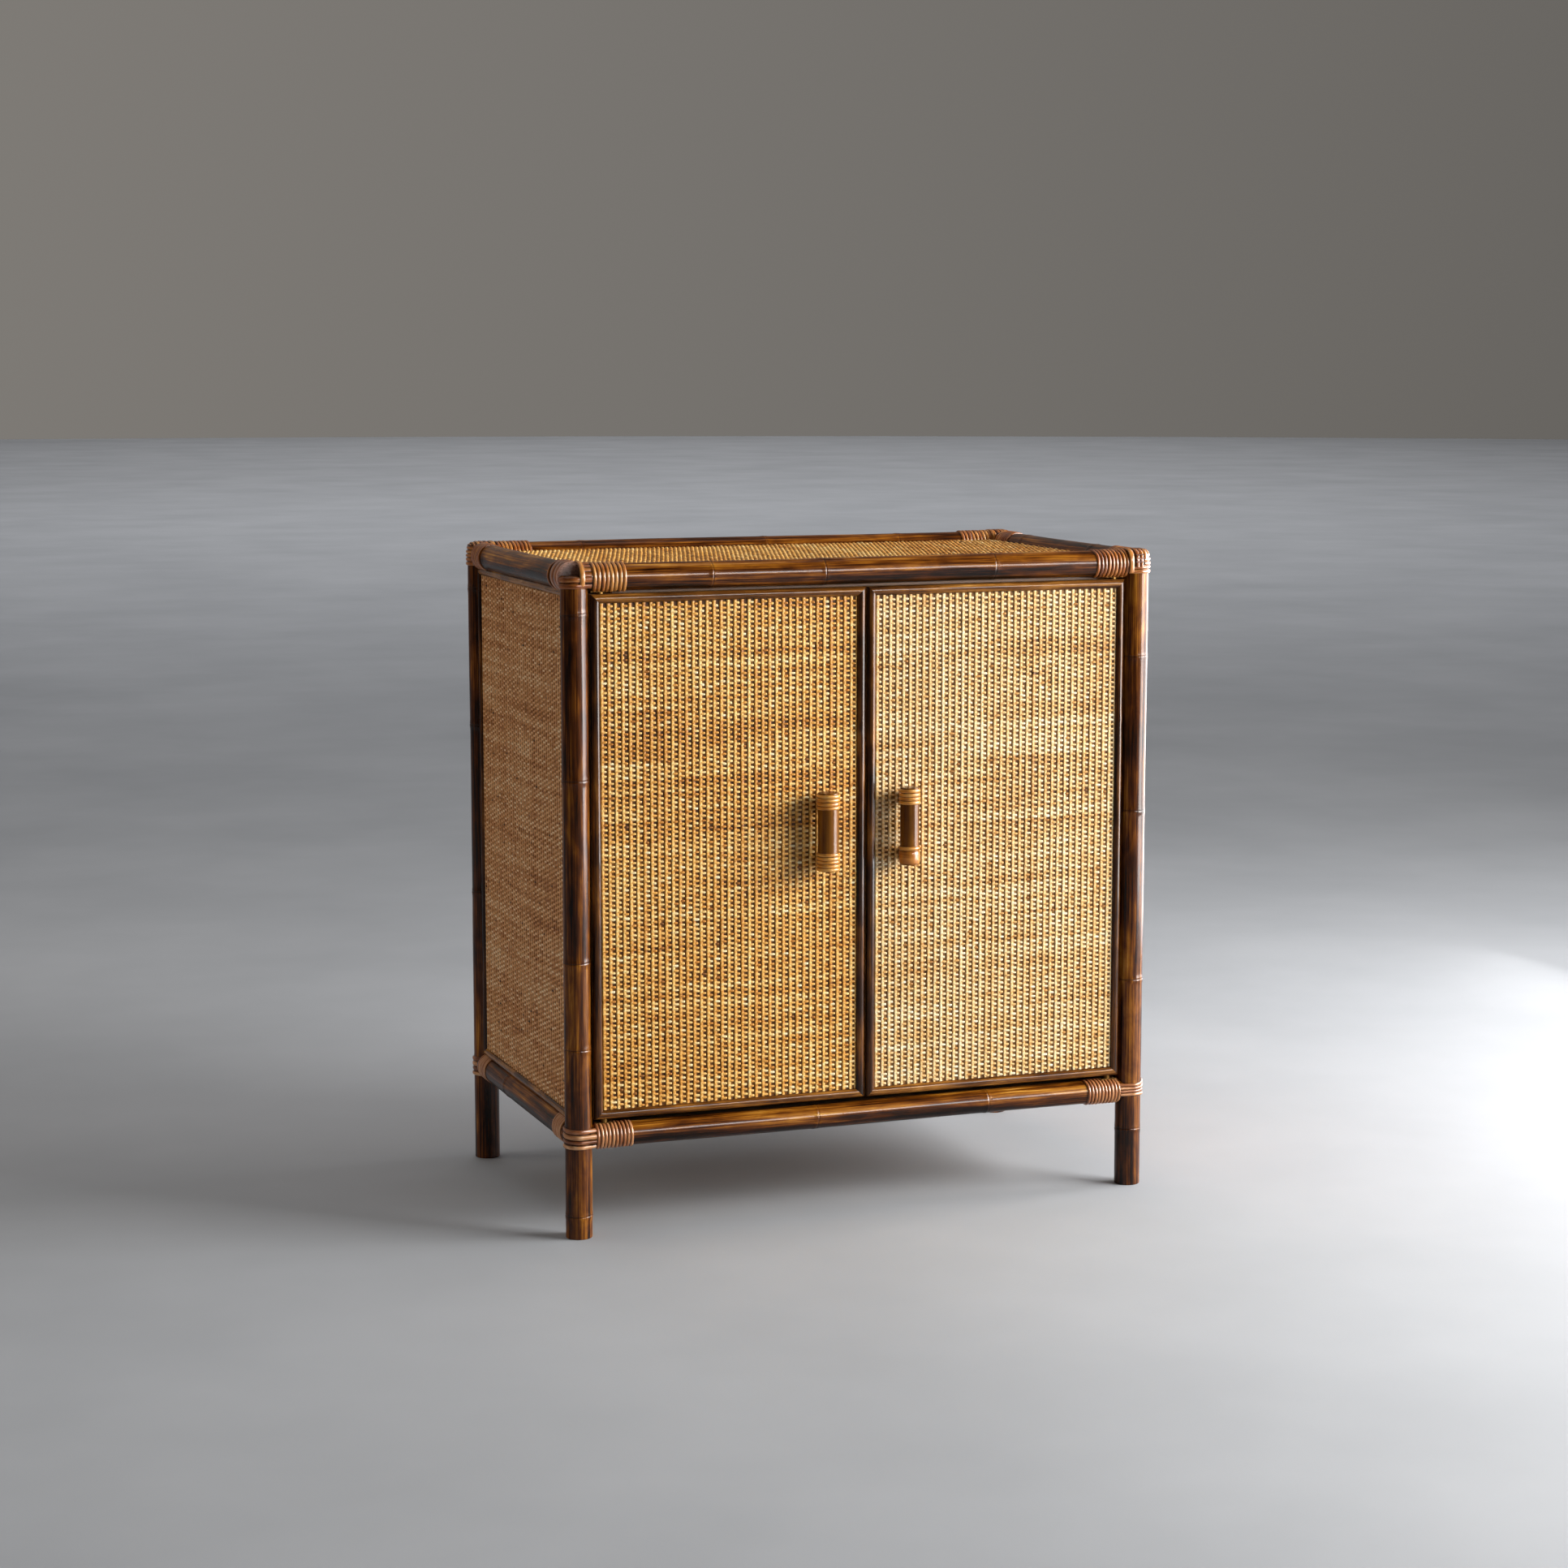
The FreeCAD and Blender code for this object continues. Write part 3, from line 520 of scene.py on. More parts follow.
posts = {
    "front_left": (-HX, -HY, 785.0, [26.0, 226.0, 331.0, 546.0, 740.0], [0.10, 0.06, 0.11, -0.05, -0.05, 0.02], 11),
    "front_right": (HX, -HY, 795.0, [70.0, 262.0, 474.0, 668.0], [-0.12, 0.02, 0.06, -0.02, 0.08], 23),
    "back_left": (-HX, HY, 795.0, [118.0, 350.0, 566.0, 742.0], [-0.10, -0.04, -0.12, -0.04, 0.0], 37),
    "back_right": (HX, HY, 795.0, [60.0, 240.0, 455.0, 690.0], [-0.02, 0.04, -0.05, 0.05, 0.0], 41),
}
for n, (x, y, top, nd, tn, sd) in posts.items():
    flip_check(pole("post_" + n + "_pole", (x, y, 0.9), (x, y, top), nd, sd, "post_" + n, tones=tn,
                    ends=(0.9, 2.0 if n == "front_left" else 4.0)))

rails = {
    "top_rail_front": ((-HX + 7, -HY, ZT), (HX - 12, -HY, ZT), [158.0, 300.0, 520.0], [0.12, 0.20, 0.12, 0.10], 51, (0.0, 0.0), R),
    "top_rail_back": ((-HX + 12, HY, ZT), (HX - 12, HY, ZT), [120.0, 372.0, 560.0], [0.04, -0.02, 0.05, 0.0], 52, (0.0, 0.0), R),
    "top_rail_left": ((-HX, -191.0, ZT), (-HX, 191.0, ZT), [330.0], [0.10, 0.02], 53, (2.2, 2.2), R),
    "top_rail_right": ((HX, -191.0, ZT), (HX, 191.0, ZT), [96.0, 301.0], [-0.08, -0.04, 0.0], 54, (2.0, 2.0), R),
    "bottom_rail_front": ((-HX + 12, -HY, ZL), (HX - 12, -HY, ZL), [286.0, 512.0], [0.08, 0.06, 0.14], 55, (0.0, 0.0), RL),
    "bottom_rail_back": ((-HX + 12, HY, ZL), (HX - 12, HY, ZL), [180.0, 455.0], [0.0, 0.05, -0.03], 56, (0.0, 0.0), RL),
    "bottom_rail_left": ((-HX, -194.0, ZB), (-HX, 194.0, ZB), [260.0], [0.0, -0.04], 57, (0.0, 0.0), R),
    "bottom_rail_right": ((HX, -194.0, ZB), (HX, 194.0, ZB), [88.0, 290.0], [0.0, 0.05, -0.04], 58, (0.0, 0.0), R),
}
for n, (a, c, nd, tn, sd, ends, rad) in rails.items():
    flip_check(pole(n + "_pole", a, c, nd, sd, n, tones=tn, ends=ends, r=rad, underside_shade=0.45,
                    mat=M_POLE_SOFT if n in ("top_rail_left", "bottom_rail_left") else M_POLE))


def end_grain_material():
    m = Mat("pole_end_grain")
    o = m.obj()
    a = m.noise(m.mapping(o, (420, 60, 420)), 1.0, 4.0, 0.6, 1.5)
    c = m.noise(m.mapping(o, (150, 60, 900), (4, 1, 2)), 1.0, 3.0, 0.6, 2.0)
    f = m.math("ADD", m.math("MULTIPLY", a, 0.55), m.math("MULTIPLY", c, 0.45), clamp=True)
    col = m.ramp(f, [(0.36, srgb(84, 46, 34)), (0.45, srgb(206, 150, 128)), (0.60, srgb(232, 182, 160)), (0.75, srgb(252, 222, 206))])
    m.link(col, m.p.inputs["Base Color"])
    m.link(m.maprange(a, 0.3, 0.7, 0.30, 0.5), m.p.inputs["Roughness"])
    m.bump(c, 0.4, 0.0006)
    return m.m


b = Build()
mrad = np.array([0.0, 4.0, 8.0, 12.0, 15.5, 17.3, 18.3, 18.6, 18.6])
mdep = np.array([-205.6, -205.55, -205.5, -205.4, -205.2, -204.9, -204.2, -203.2, -201.6])
th = np.linspace(0, 2 * np.pi, 40, endpoint=False)
RR, TT = np.meshgrid(mrad, th, indexing="ij")
rough_cut = 0.25 * vnoise2(RR * np.cos(TT) + 40, RR * np.sin(TT) + 40, 3.0, 1.6, 771) * (RR < 15)
P = np.stack([-HX - 1.2 + RR * np.cos(TT), mdep[:, None] + rough_cut, ZT + 0.4 + RR * np.sin(TT)], -1)
b.add(P.reshape(-1, 3), grid_faces(len(mrad), 40, True, flip=False), tone=0.5)
b.make("top_rail_left_end", end_grain_material(), "carcass")

# ---------------------------------------------------------------------------
# strips swept along a path: half-round beads and split cane
# ---------------------------------------------------------------------------
def bead_frame(name, origin, eu, ev, en, U, V, w, h, seed, body, cad, inset_tone=0.0):
    """Four half-round beads with mitred corners round a rectangle."""
    origin, eu, ev, en = (np.asarray(x, float) for x in (origin, eu, ev, en))
    b = Build()
    corners = [np.array(c, float) for c in ((0, 0), (U, 0), (U, V), (0, V))]
    m = 11
    ang = np.linspace(0, np.pi, m)
    across = (1 - np.cos(ang)) / 2 * w          # 0 at the outer edge, w at the inner edge
    height = np.sin(ang) ** 0.85 * h
    for i in range(4):
        a, c = corners[i], corners[(i + 1) % 4]
        along = (c - a) / np.linalg.norm(c - a)
        inward = np.array([-along[1], along[0]])
        L = np.linalg.norm(c - a)
        n = max(8, int(L / 7))
        t = np.linspace(0, 1, n)
        Tt, Aa = np.meshgrid(t, np.arange(m), indexing="ij")
        sd = seed * 17 + i * 5
        # the mitre: the strip is shorter on its inner edge
        start = across[Aa] + 0.12
        S = start + Tt * (L - 2 * start)
        wob = 1 + 0.035 * vnoise1(S, 45.0, sd) + 0.02 * vnoise1(S, 14.0, sd + 3)
        lat = 0.22 * vnoise1(S, 120.0, sd + 1) * np.sin(np.pi * Tt)
        hh = height[Aa] * wob
        nodes = np.random.default_rng(sd).uniform(0.1, 0.9, 2 if L > 300 else 1) * L
        line = np.zeros_like(S)
        for k in nodes:
            sk = S - k
            hh = hh * (1 + 0.10 * np.exp(-(sk / 3.0) ** 2))
            line = np.maximum(line, 0.8 * np.exp(-((sk - 0.6) / 0.9) ** 2))
        uu = a[0] + along[0] * S + inward[0] * (across[Aa] + lat)
        vv = a[1] + along[1] * S + inward[1] * (across[Aa] + lat)
        P = origin + uu[..., None] * eu + vv[..., None] * ev + hh[..., None] * en
        tone = 0.50 + 0.16 * vnoise1(S, 60.0, sd + 2) + 0.05 * vnoise1(S, 13.0, sd + 4) + inset_tone
        # painted shade and light: the bead is darkened on its low flanks beside the panel, and the level beads are
        # lighter than the upright ones, as with light from above
        tone = tone - 0.20 * np.clip(1 - height[Aa] / h * 1.5, 0, 1) + (0.04 if i % 2 == 0 else -0.16)
        loc = np.stack([across[Aa] * 1.0, hh, S], -1) / 1000 + np.array([sd * 0.37 % 5, sd * 0.11 % 3, sd * 0.7 % 2])
        b.add(P.reshape(-1, 3), grid_faces(n, m), loc=loc.reshape(-1, 3), tone=tone.ravel(), line=line.ravel())
        # closed mitre faces and flat back
        flat = P.copy()
        for end in (0, n - 1):
            ring = P[end]
            cen = ring.mean(0)
            tri = np.array([[j, j + 1, m] for j in range(m - 1)] + [[m - 1, 0, m]])
            b.add(np.concatenate([ring, cen[None]]), None, tri if end == 0 else tri[:, ::-1],
                  loc=np.concatenate([loc[end], loc[end].mean(0)[None]]), tone=0.22, line=0.0)
        back = np.stack([P[:, 0], P[:, -1]], 1).reshape(-1, 3)
        bl = np.stack([loc[:, 0], loc[:, -1]], 1).reshape(-1, 3)
        b.add(back, grid_faces(n, 2, flip=True), loc=bl, tone=0.3, line=0.0)
    ob = b.make(name, M_BEAD, body, cad)
    # the swept faces must look outwards
    me = ob.data
    nn = np.zeros(len(me.polygons) * 3)
    me.polygons.foreach_get("normal", nn)
    ar = np.zeros(len(me.polygons))
    me.polygons.foreach_get("area", ar)
    if ((nn.reshape(-1, 3) * ar[:, None])[: (max(8, int(U / 7)) - 1) * (m - 1)] @ en).sum() < 0:
        me.flip_normals()
    return ob


def strip_ring(b, path, normal, side, w, t, tone, seed, closed=False, dome=0.75, edge_shade_amount=1.0):
    """Sweeps a cane strip. path, normal (outwards) and side are n x 3, w and t
    numbers or arrays. The strip is flat below and rounded above."""
    n = len(path)
    prof = np.array([(-0.5, -0.25), (-0.47, 0.42), (-0.36, 0.78), (-0.15, 0.97), (0.15, 0.97), (0.36, 0.78), (0.47, 0.42), (0.5, -0.25)])
    m = len(prof)
    w = np.broadcast_to(np.asarray(w, float), (n,))
    t = np.broadcast_to(np.asarray(t, float), (n,))
    P = path[:, None, :] + (prof[:, 0][None, :, None] * w[:, None, None]) * side[:, None, :] \
        + (prof[:, 1][None, :, None] * t[:, None, None]) * normal[:, None, :]
    seg = np.concatenate([[0], np.cumsum(np.linalg.norm(np.diff(path, axis=0), axis=1))])
    loc = np.stack([np.broadcast_to(prof[:, 0][None, :] * 5.0, (n, m)), np.broadcast_to(prof[:, 1][None, :], (n, m)),
                    np.broadcast_to(seg[:, None], (n, m))], -1) / 1000 + np.array([seed * 0.31 % 4, seed * 0.17 % 3, seed * 0.77 % 5])
    tn = np.broadcast_to(np.asarray(tone, float).reshape(-1, 1) if np.ndim(tone) else np.full((n, 1), float(tone)), (n, m))
    # painted shade at the strip's edges, strongest at the outer corners of the profile
    edge = np.broadcast_to(np.array([1.0, 0.62, 0.12, 0, 0, 0.12, 0.62, 1.0]) * edge_shade_amount, (n, m))
    F = grid_faces(n, m, True)
    b.add(P.reshape(-1, 3), F, loc=loc.reshape(-1, 3), tone=tn.ravel(), edge=edge.ravel())
    if not closed:
        # closed cut ends: darker end grain, with half the painted edge shade
        for end in (0, n - 1):
            ring = P[end]
            tri = np.array([[j, (j + 1) % m, m] for j in range(m)])
            b.add(np.concatenate([ring, ring.mean(0)[None]]), None, tri if end else tri[:, ::-1],
                  loc=np.concatenate([loc[end], loc[end].mean(0)[None]]), tone=float(tn[end].mean()) - 0.2, edge=0.5)


def wrap(b, centre, axis, ref, r, start, turns, pitch, t, seed, tone=0.55, w=None, a0=0.0, segs=40, spread=0.12, lift=0.0):
    """A cane strip wound round a pole, turn beside turn."""
    centre, axis, ref = np.asarray(centre, float), unit(axis), unit(ref)
    other = np.cross(axis, ref)
    rng = np.random.default_rng(seed)
    n = int(turns * segs) + 1
    ph = a0 + np.linspace(0, 2 * np.pi * turns, n)
    k = (ph - a0) / (2 * np.pi)
    # a turn lies nearly square to the pole, and steps over at one place
    frac = k - np.floor(k)
    stepped = np.floor(k) + 0.35 * frac + 0.65 * np.clip((frac - 0.55) / 0.35, 0, 1) ** 2 * (3 - 2 * np.clip((frac - 0.55) / 0.35, 0, 1))
    pos = start + pitch * (stepped + 0.5) + 0.10 * vnoise1(ph, 1.3, seed + 1) * pitch * 0.5
    rr = r + lift + 0.12 * vnoise1(ph, 0.9, seed + 2)
    out = np.cos(ph)[:, None] * ref + np.sin(ph)[:, None] * other
    path = centre + pos[:, None] * axis + rr[:, None] * out
    side = np.broadcast_to(axis, (n, 3))
    ww = (w or pitch * 0.97) * (1 + 0.05 * vnoise1(ph, 2.1, seed + 3))
    tt = t * (1 + 0.06 * vnoise1(ph, 1.7, seed + 4))
    per = rng.uniform(-spread, spread, int(turns) + 3)
    tn = tone + np.interp(k, np.arange(len(per)), per) + 0.05 * vnoise1(ph, 0.5, seed + 5)
    strip_ring(b, path, out, side, ww, tt, tn, seed)


def ring(b, cx, cy, z, r, w, t, seed, tone, segs=44):
    """A closed turn round an upright pole, nearly level."""
    ph = np.linspace(0, 2 * np.pi, segs + 1)
    out = np.stack([np.sin(ph), np.cos(ph), 0 * ph], 1)
    wav = 0.10 * np.sin(ph + seed) + 0.05 * np.sin(2 * ph + 2 * seed)
    path = np.stack([cx + r * out[:, 0], cy + r * out[:, 1], z + wav], 1)
    side = np.broadcast_to(np.array([0.0, 0.0, 1.0]), (segs + 1, 3))
    tn = tone + 0.05 * np.sin(ph * 2 + seed * 1.7) + 0.03 * np.sin(ph * 5 + seed)
    strip_ring(b, path, out, side, w, t, tn, seed, closed=True)


def arc_band(b, centre, axis, ref, r, height, a0, a1, w, t, seed, tone=0.6, tilt=0.0, sag=0.0, segs=26, lift0=0.0, lift1=0.0):
    """Part of a turn: a strip laid round a pole from angle a0 to a1."""
    centre, axis, ref = np.asarray(centre, float), unit(axis), unit(ref)
    other = np.cross(axis, ref)
    ph = np.linspace(a0, a1, segs)
    f = np.linspace(0, 1, segs)
    out = np.cos(ph)[:, None] * ref + np.sin(ph)[:, None] * other
    hgt = height + tilt * (f - 0.5) + sag * np.sin(np.pi * f) + 0.12 * vnoise1(ph, 0.8, seed + 1)
    rr = r + lift0 * (1 - f) + lift1 * f + 0.1 * vnoise1(ph, 0.7, seed + 2)
    path = centre + hgt[:, None] * axis + rr[:, None] * out
    side = np.broadcast_to(axis, (segs, 3))
    tn = tone + 0.07 * vnoise1(ph, 0.6, seed + 5)
    strip_ring(b, path, out, side, w * (1 + 0.05 * vnoise1(ph, 1.1, seed + 3)), t, tn, seed)


# ---------------------------------------------------------------------------
# the eight corner lashings
# ---------------------------------------------------------------------------
T = 2.0


def tape(b, path, normal, w, t, tone, seed, closed=False):
    """A flat strip along a free path; its width lies square to the path and the normal."""
    path, normal = np.asarray(path, float), np.asarray(normal, float)
    d = np.gradient(path, axis=0)
    side = np.cross(d, normal)
    side /= np.linalg.norm(side, axis=1)[:, None]
    n = len(path)
    k = np.arange(n) * 0.35
    tn = tone + 0.06 * vnoise1(k, 1.5, seed + 5)
    strip_ring(b, path, normal, side, w * (1 + 0.05 * vnoise1(k, 2.0, seed + 3)), t, tn, seed, closed=closed)


def post_band(b, cx, cy, sx, sy, z_of, r_of, w_of, t, seed, tone, a0, a1, segs=48):
    """A band round a post. Angle 0 looks outwards along y, 90 degrees outwards along x."""
    ph = np.radians(np.linspace(a0, a1, segs))
    out = np.stack([sx * np.sin(ph), sy * np.cos(ph), np.zeros(segs)], 1)
    rr = r_of(ph) + 0.10 * vnoise1(ph, 0.7, seed + 2)
    z = z_of(ph) + 0.14 * vnoise1(ph, 0.8, seed + 1)
    path = np.stack([cx + rr * out[:, 0], cy + rr * out[:, 1], z], 1)
    side = np.broadcast_to(np.array([0.0, 0.0, 1.0]), (segs, 3))
    tn = tone + 0.07 * vnoise1(ph, 0.6, seed + 5)
    strip_ring(b, path, out, side, w_of(ph) * (1 + 0.04 * vnoise1(ph, 1.1, seed + 3)), t, tn, seed)


def over_strip(b, x, cy, zc, ry, rz, w, t, seed, tone, a0, a1, sy, segs=24, square=1.0):
    """A strip over the top of a corner, in a plane square to x. Angle 0 is the
    front or back, outwards, and 90 degrees the top."""
    ph = np.radians(np.linspace(a0, a1, segs))
    co, si = np.cos(ph), np.sin(ph)
    py = np.sign(co) * np.abs(co) ** square
    pz = np.sign(si) * np.abs(si) ** square
    path = np.stack([np.full(segs, x) + 0.2 * vnoise1(ph, 0.7, seed), cy + sy * ry * py, zc + rz * pz], 1)
    nrm = np.stack([np.zeros(segs), sy * co * np.abs(co) ** (1 - square), si * np.abs(si) ** (1 - square)], 1)
    if square != 1.0:
        d = np.gradient(path, axis=0)
        nrm = np.cross(d, np.array([1.0, 0.0, 0.0]))
        nrm *= np.sign((nrm * (path - np.array([x, cy, zc - 4.0]))).sum(1))[:, None]
    nrm /= np.linalg.norm(nrm, axis=1)[:, None]
    side = np.broadcast_to(np.array([1.0, 0.0, 0.0]), (segs, 3))
    tn = tone + 0.07 * vnoise1(ph, 0.5, seed + 5)
    strip_ring(b, path, nrm, side, w, t, tn, seed)


def corner_band(b, cx, cy, sx, sy, zr, rr_rail, z_rail, z_out, w_rail, w_out, t, seed, tone, reach=17.6, a0=165, lift=0.0):
    """A band which comes off the front or back rail and goes round the post. It
    lies at z_rail on the rail and at z_out on the far side of the post."""
    n1, n2 = 36, 9
    a = np.radians(np.linspace(a0, 0, n1))
    g = 0.5 - 0.5 * np.cos(np.clip(a * 1.25, 0, np.pi))
    r = R + 0.15 + lift + 0.1 * vnoise1(a, 0.7, seed)
    p1 = np.stack([cx + sx * r * np.sin(a), cy + sy * r * np.cos(a), z_rail + (z_out - z_rail) * g], 1)
    m1 = np.stack([sx * np.sin(a), sy * np.cos(a), 0 * a], 1)
    f = np.linspace(0.08, 1, n2)
    dz = z_rail - zr
    yr = math.sqrt(max(rr_rail ** 2 - dz ** 2, 60.0)) + 0.1 + lift
    y0 = R + 0.15 + lift
    p2 = np.stack([cx - sx * reach * f, cy + sy * (y0 + (yr - y0) * f), np.full(n2, z_rail)], 1)
    tilt = np.clip(dz / rr_rail, -0.75, 0.75) * f
    m2 = np.stack([0 * f, sy * np.sqrt(1 - tilt ** 2), tilt], 1)
    path, nrm = np.concatenate([p1, p2]), np.concatenate([m1, m2])
    side = np.cross(nrm, np.gradient(path, axis=0))
    side /= np.linalg.norm(side, axis=1)[:, None]
    nrm = np.cross(np.gradient(path, axis=0), side)
    nrm /= np.linalg.norm(nrm, axis=1)[:, None]
    k = np.arange(n1 + n2) * 0.4
    ww = np.concatenate([w_rail + (w_out - w_rail) * g, np.full(n2, w_rail)]) * (1 + 0.05 * vnoise1(k, 1.7, seed + 3))
    strip_ring(b, path, nrm, side, ww, t, tone + 0.08 * vnoise1(k, 1.5, seed + 5), seed)


LASH = {  # turns and pitch on the front or back rail, turns and pitch on the side rail
    "top_front_left": (8, 5.2, 6, 6.9),
    "top_front_right": (9, 4.95, 7, 5.6),
    "top_back_left": (9, 5.0, 7, 5.6),
    "top_back_right": (9, 5.0, 7, 5.6),
    "bottom_front_left": (10, 4.58, 6, 5.9),
    "bottom_front_right": (10, 4.55, 6, 5.9),
    "bottom_back_left": (9, 5.0, 6, 5.9),
    "bottom_back_right": (9, 5.0, 6, 5.9),
}
for i, (n, (nx, px, ny, py)) in enumerate(LASH.items()):
    lev, fb, lr = n.split("_")
    sx, sy = (-1 if lr == "left" else 1), (-1 if fb == "front" else 1)
    z = ZT if lev == "top" else ZB
    zx, rx = (ZT, R) if lev == "top" else (ZL, RL)
    cx, cy = sx * HX, sy * HY
    sd = 300 + 40 * i
    b = Build()
    start = {"top_front_left": 17.6, "bottom_front_right": 16.0}.get(n, 17.6 if lev == "bottom" else 15.0)
    wrap(b, (sx * (HX - start), cy, zx), (-sx, 0, 0), (0, -sy, 0), rx - 0.2, 0.0, nx, px, T, sd,
         tone={"top_front_left": 0.67, "top_front_right": 0.47, "bottom_front_right": 0.55}.get(n, 0.60), w=px * 0.92, spread=0.18)
    if n == "top_front_left":
        wrap(b, (cx - 1.2, -HY + 2.2, z + 0.4), (0, 1, 0), (1, 0, 0), 17.3, 0.0, 2, 13.4, 1.7, sd + 7, tone=0.50, w=13.6, spread=0.03)
        wrap(b, (cx - 0.4, -HY + 42.0, z), (0, 1, 0), (1, 0, 0), R + 0.3, 0.0, 1, 5.4, 2.0, sd + 8, tone=0.50, w=5.0, spread=0.05)
    else:
        wrap(b, (cx, sy * (HY - R - 1.4), z), (0, -sy, 0), (-sx, 0, 0), R - 0.2, 0.0, ny, py, T, sd + 7,
             tone=0.66 if lev == "bottom" else 0.5, w=py * 0.93, spread=0.12)
    if n == "top_front_left":
        # two bands round the post run on along the front rail
        corner_band(b, cx, cy, sx, sy, ZT, R, 782.4, 782.0, 6.8, 6.8, T, sd + 11, 0.50, 17.0, 150)
        corner_band(b, cx, cy, sx, sy, ZT, R, 774.9, 774.6, 6.2, 6.4, T, sd + 12, 0.44, 17.0, 150)
        # a golden strip crosses them, and short strips lie between it and the turns
        over_strip(b, -355.6, -HY, ZT, 18.1, 18.3, 6.2, 1.3, sd + 15, 0.74, -44, 96, -1, 30)
        for k, (a, hh) in enumerate(((14, 5.6), (35, 5.0), (55, 4.6), (75, 4.6), (95, 4.6))):
            ra = math.radians(a)
            xs = np.linspace(-354.6, -344.6, 6)
            path = np.stack([xs, np.full(6, -HY - 16.4 * math.cos(ra)), np.full(6, ZT + 16.4 * math.sin(ra))], 1)
            nrm = np.tile(np.array([0.0, -math.cos(ra), math.sin(ra)]), (6, 1))
            side = np.tile(np.array([0.0, math.sin(ra), math.cos(ra)]), (6, 1))
            strip_ring(b, path, nrm, side, hh * 0.86, 1.5, 0.46 + 0.05 * (k % 2), sd + 20 + k)
    elif lev == "top":
        # bands round the post up to a rounded cap of strips laid over the corner
        corner_band(b, cx, cy, sx, sy, ZT, R, 774.1, 773.9, 4.7, 4.8, T, sd + 11, 0.66, 15.0, 175)
        corner_band(b, cx, cy, sx, sy, ZT, R, 779.3, 779.0, 4.2, 4.6, T, sd + 12, 0.56, 15.0, 175)
        for k in range(3):
            post_band(b, cx, cy, sx, sy, lambda p, zc=784.0 + 4.9 * k: zc + 0 * p, lambda p, q=(0.0, 0.2, 1.1)[k]: R + 0.1 - q + 0 * p,
                      lambda p: 4.4 + 0 * p, T + 0.1, sd + 13 + 3 * k, 0.60 + 0.05 * (k % 2), 15, 170)
        for k, (dx, w, a0) in enumerate(((-13.6, 6.8, -30), (-6.0, 5.3, -8), (-0.4, 4.8, -8), (4.9, 4.6, 12), (9.7, 4.2, 38), (13.4, 3.0, 60))):
            over_strip(b, cx + sx * dx, cy, ZT, (18.0, 18.1, 18.1, 17.0, 14.2, 11.4)[k], (16.9, 16.9, 16.9, 16.7, 15.7, 13.6)[k], w, 1.5, sd + 40 + k,
                       (0.70, 0.50, 0.56, 0.62, 0.66, 0.70)[k], a0, 180 - max(a0, 8), sy, 30, 0.72)
        # short strips woven through the upright ones
        for k in range(3):
            zc = (786.2, 790.6, 795.0)[k]
            xs = cx + sx * np.linspace(-8.8, 2.4, 6)
            path = np.stack([xs, np.full(6, cy + sy * (19.5, 19.3, 18.4)[k]), np.full(6, zc)], 1)
            nrm = np.tile(unit((0.0, sy, (0.0, 0.15, 0.5)[k])), (6, 1))
            side = np.tile(unit((0.0, -sy * (0.0, 0.15, 0.5)[k], 1.0)), (6, 1))
            strip_ring(b, path, nrm, side, 1.6, 0.6, 0.20 + 0.25 * (k == 1), sd + 60 + k)
    else:
        # four bands come off the rail and fan out round the post
        if lr == "left":
            spec = ((130.4, 131.8, 5.6, 5.9, 0.46), (123.7, 125.2, 6.2, 6.2, 0.72), (117.7, 118.6, 4.3, 5.0, 0.40), (111.6, 112.2, 4.8, 5.2, 0.76))
        else:
            spec = ((129.2, 134.4, 3.8, 5.4, 0.52), (125.3, 128.0, 3.8, 5.6, 0.64), (121.4, 121.4, 3.8, 5.4, 0.50), (117.5, 114.6, 3.9, 5.4, 0.72))
        for k, (z0, z1, w0, w1, tn) in enumerate(spec):
            corner_band(b, cx, cy, sx, sy, ZL, RL, z0, z1, w0, w1, T, sd + 11 + 3 * k, tn, 17.6, 175, 0.2 * (k % 2))
    ob = b.make(n + "_lashing_cane", M_LASH if lev == "top" else M_LASH_LOW, "carcass", n + "_lashing")

# ---------------------------------------------------------------------------
# woven cane mats
# ---------------------------------------------------------------------------
PU, PV = 8.7, 5.8     # pitch of the upright strands, and of the loops along one


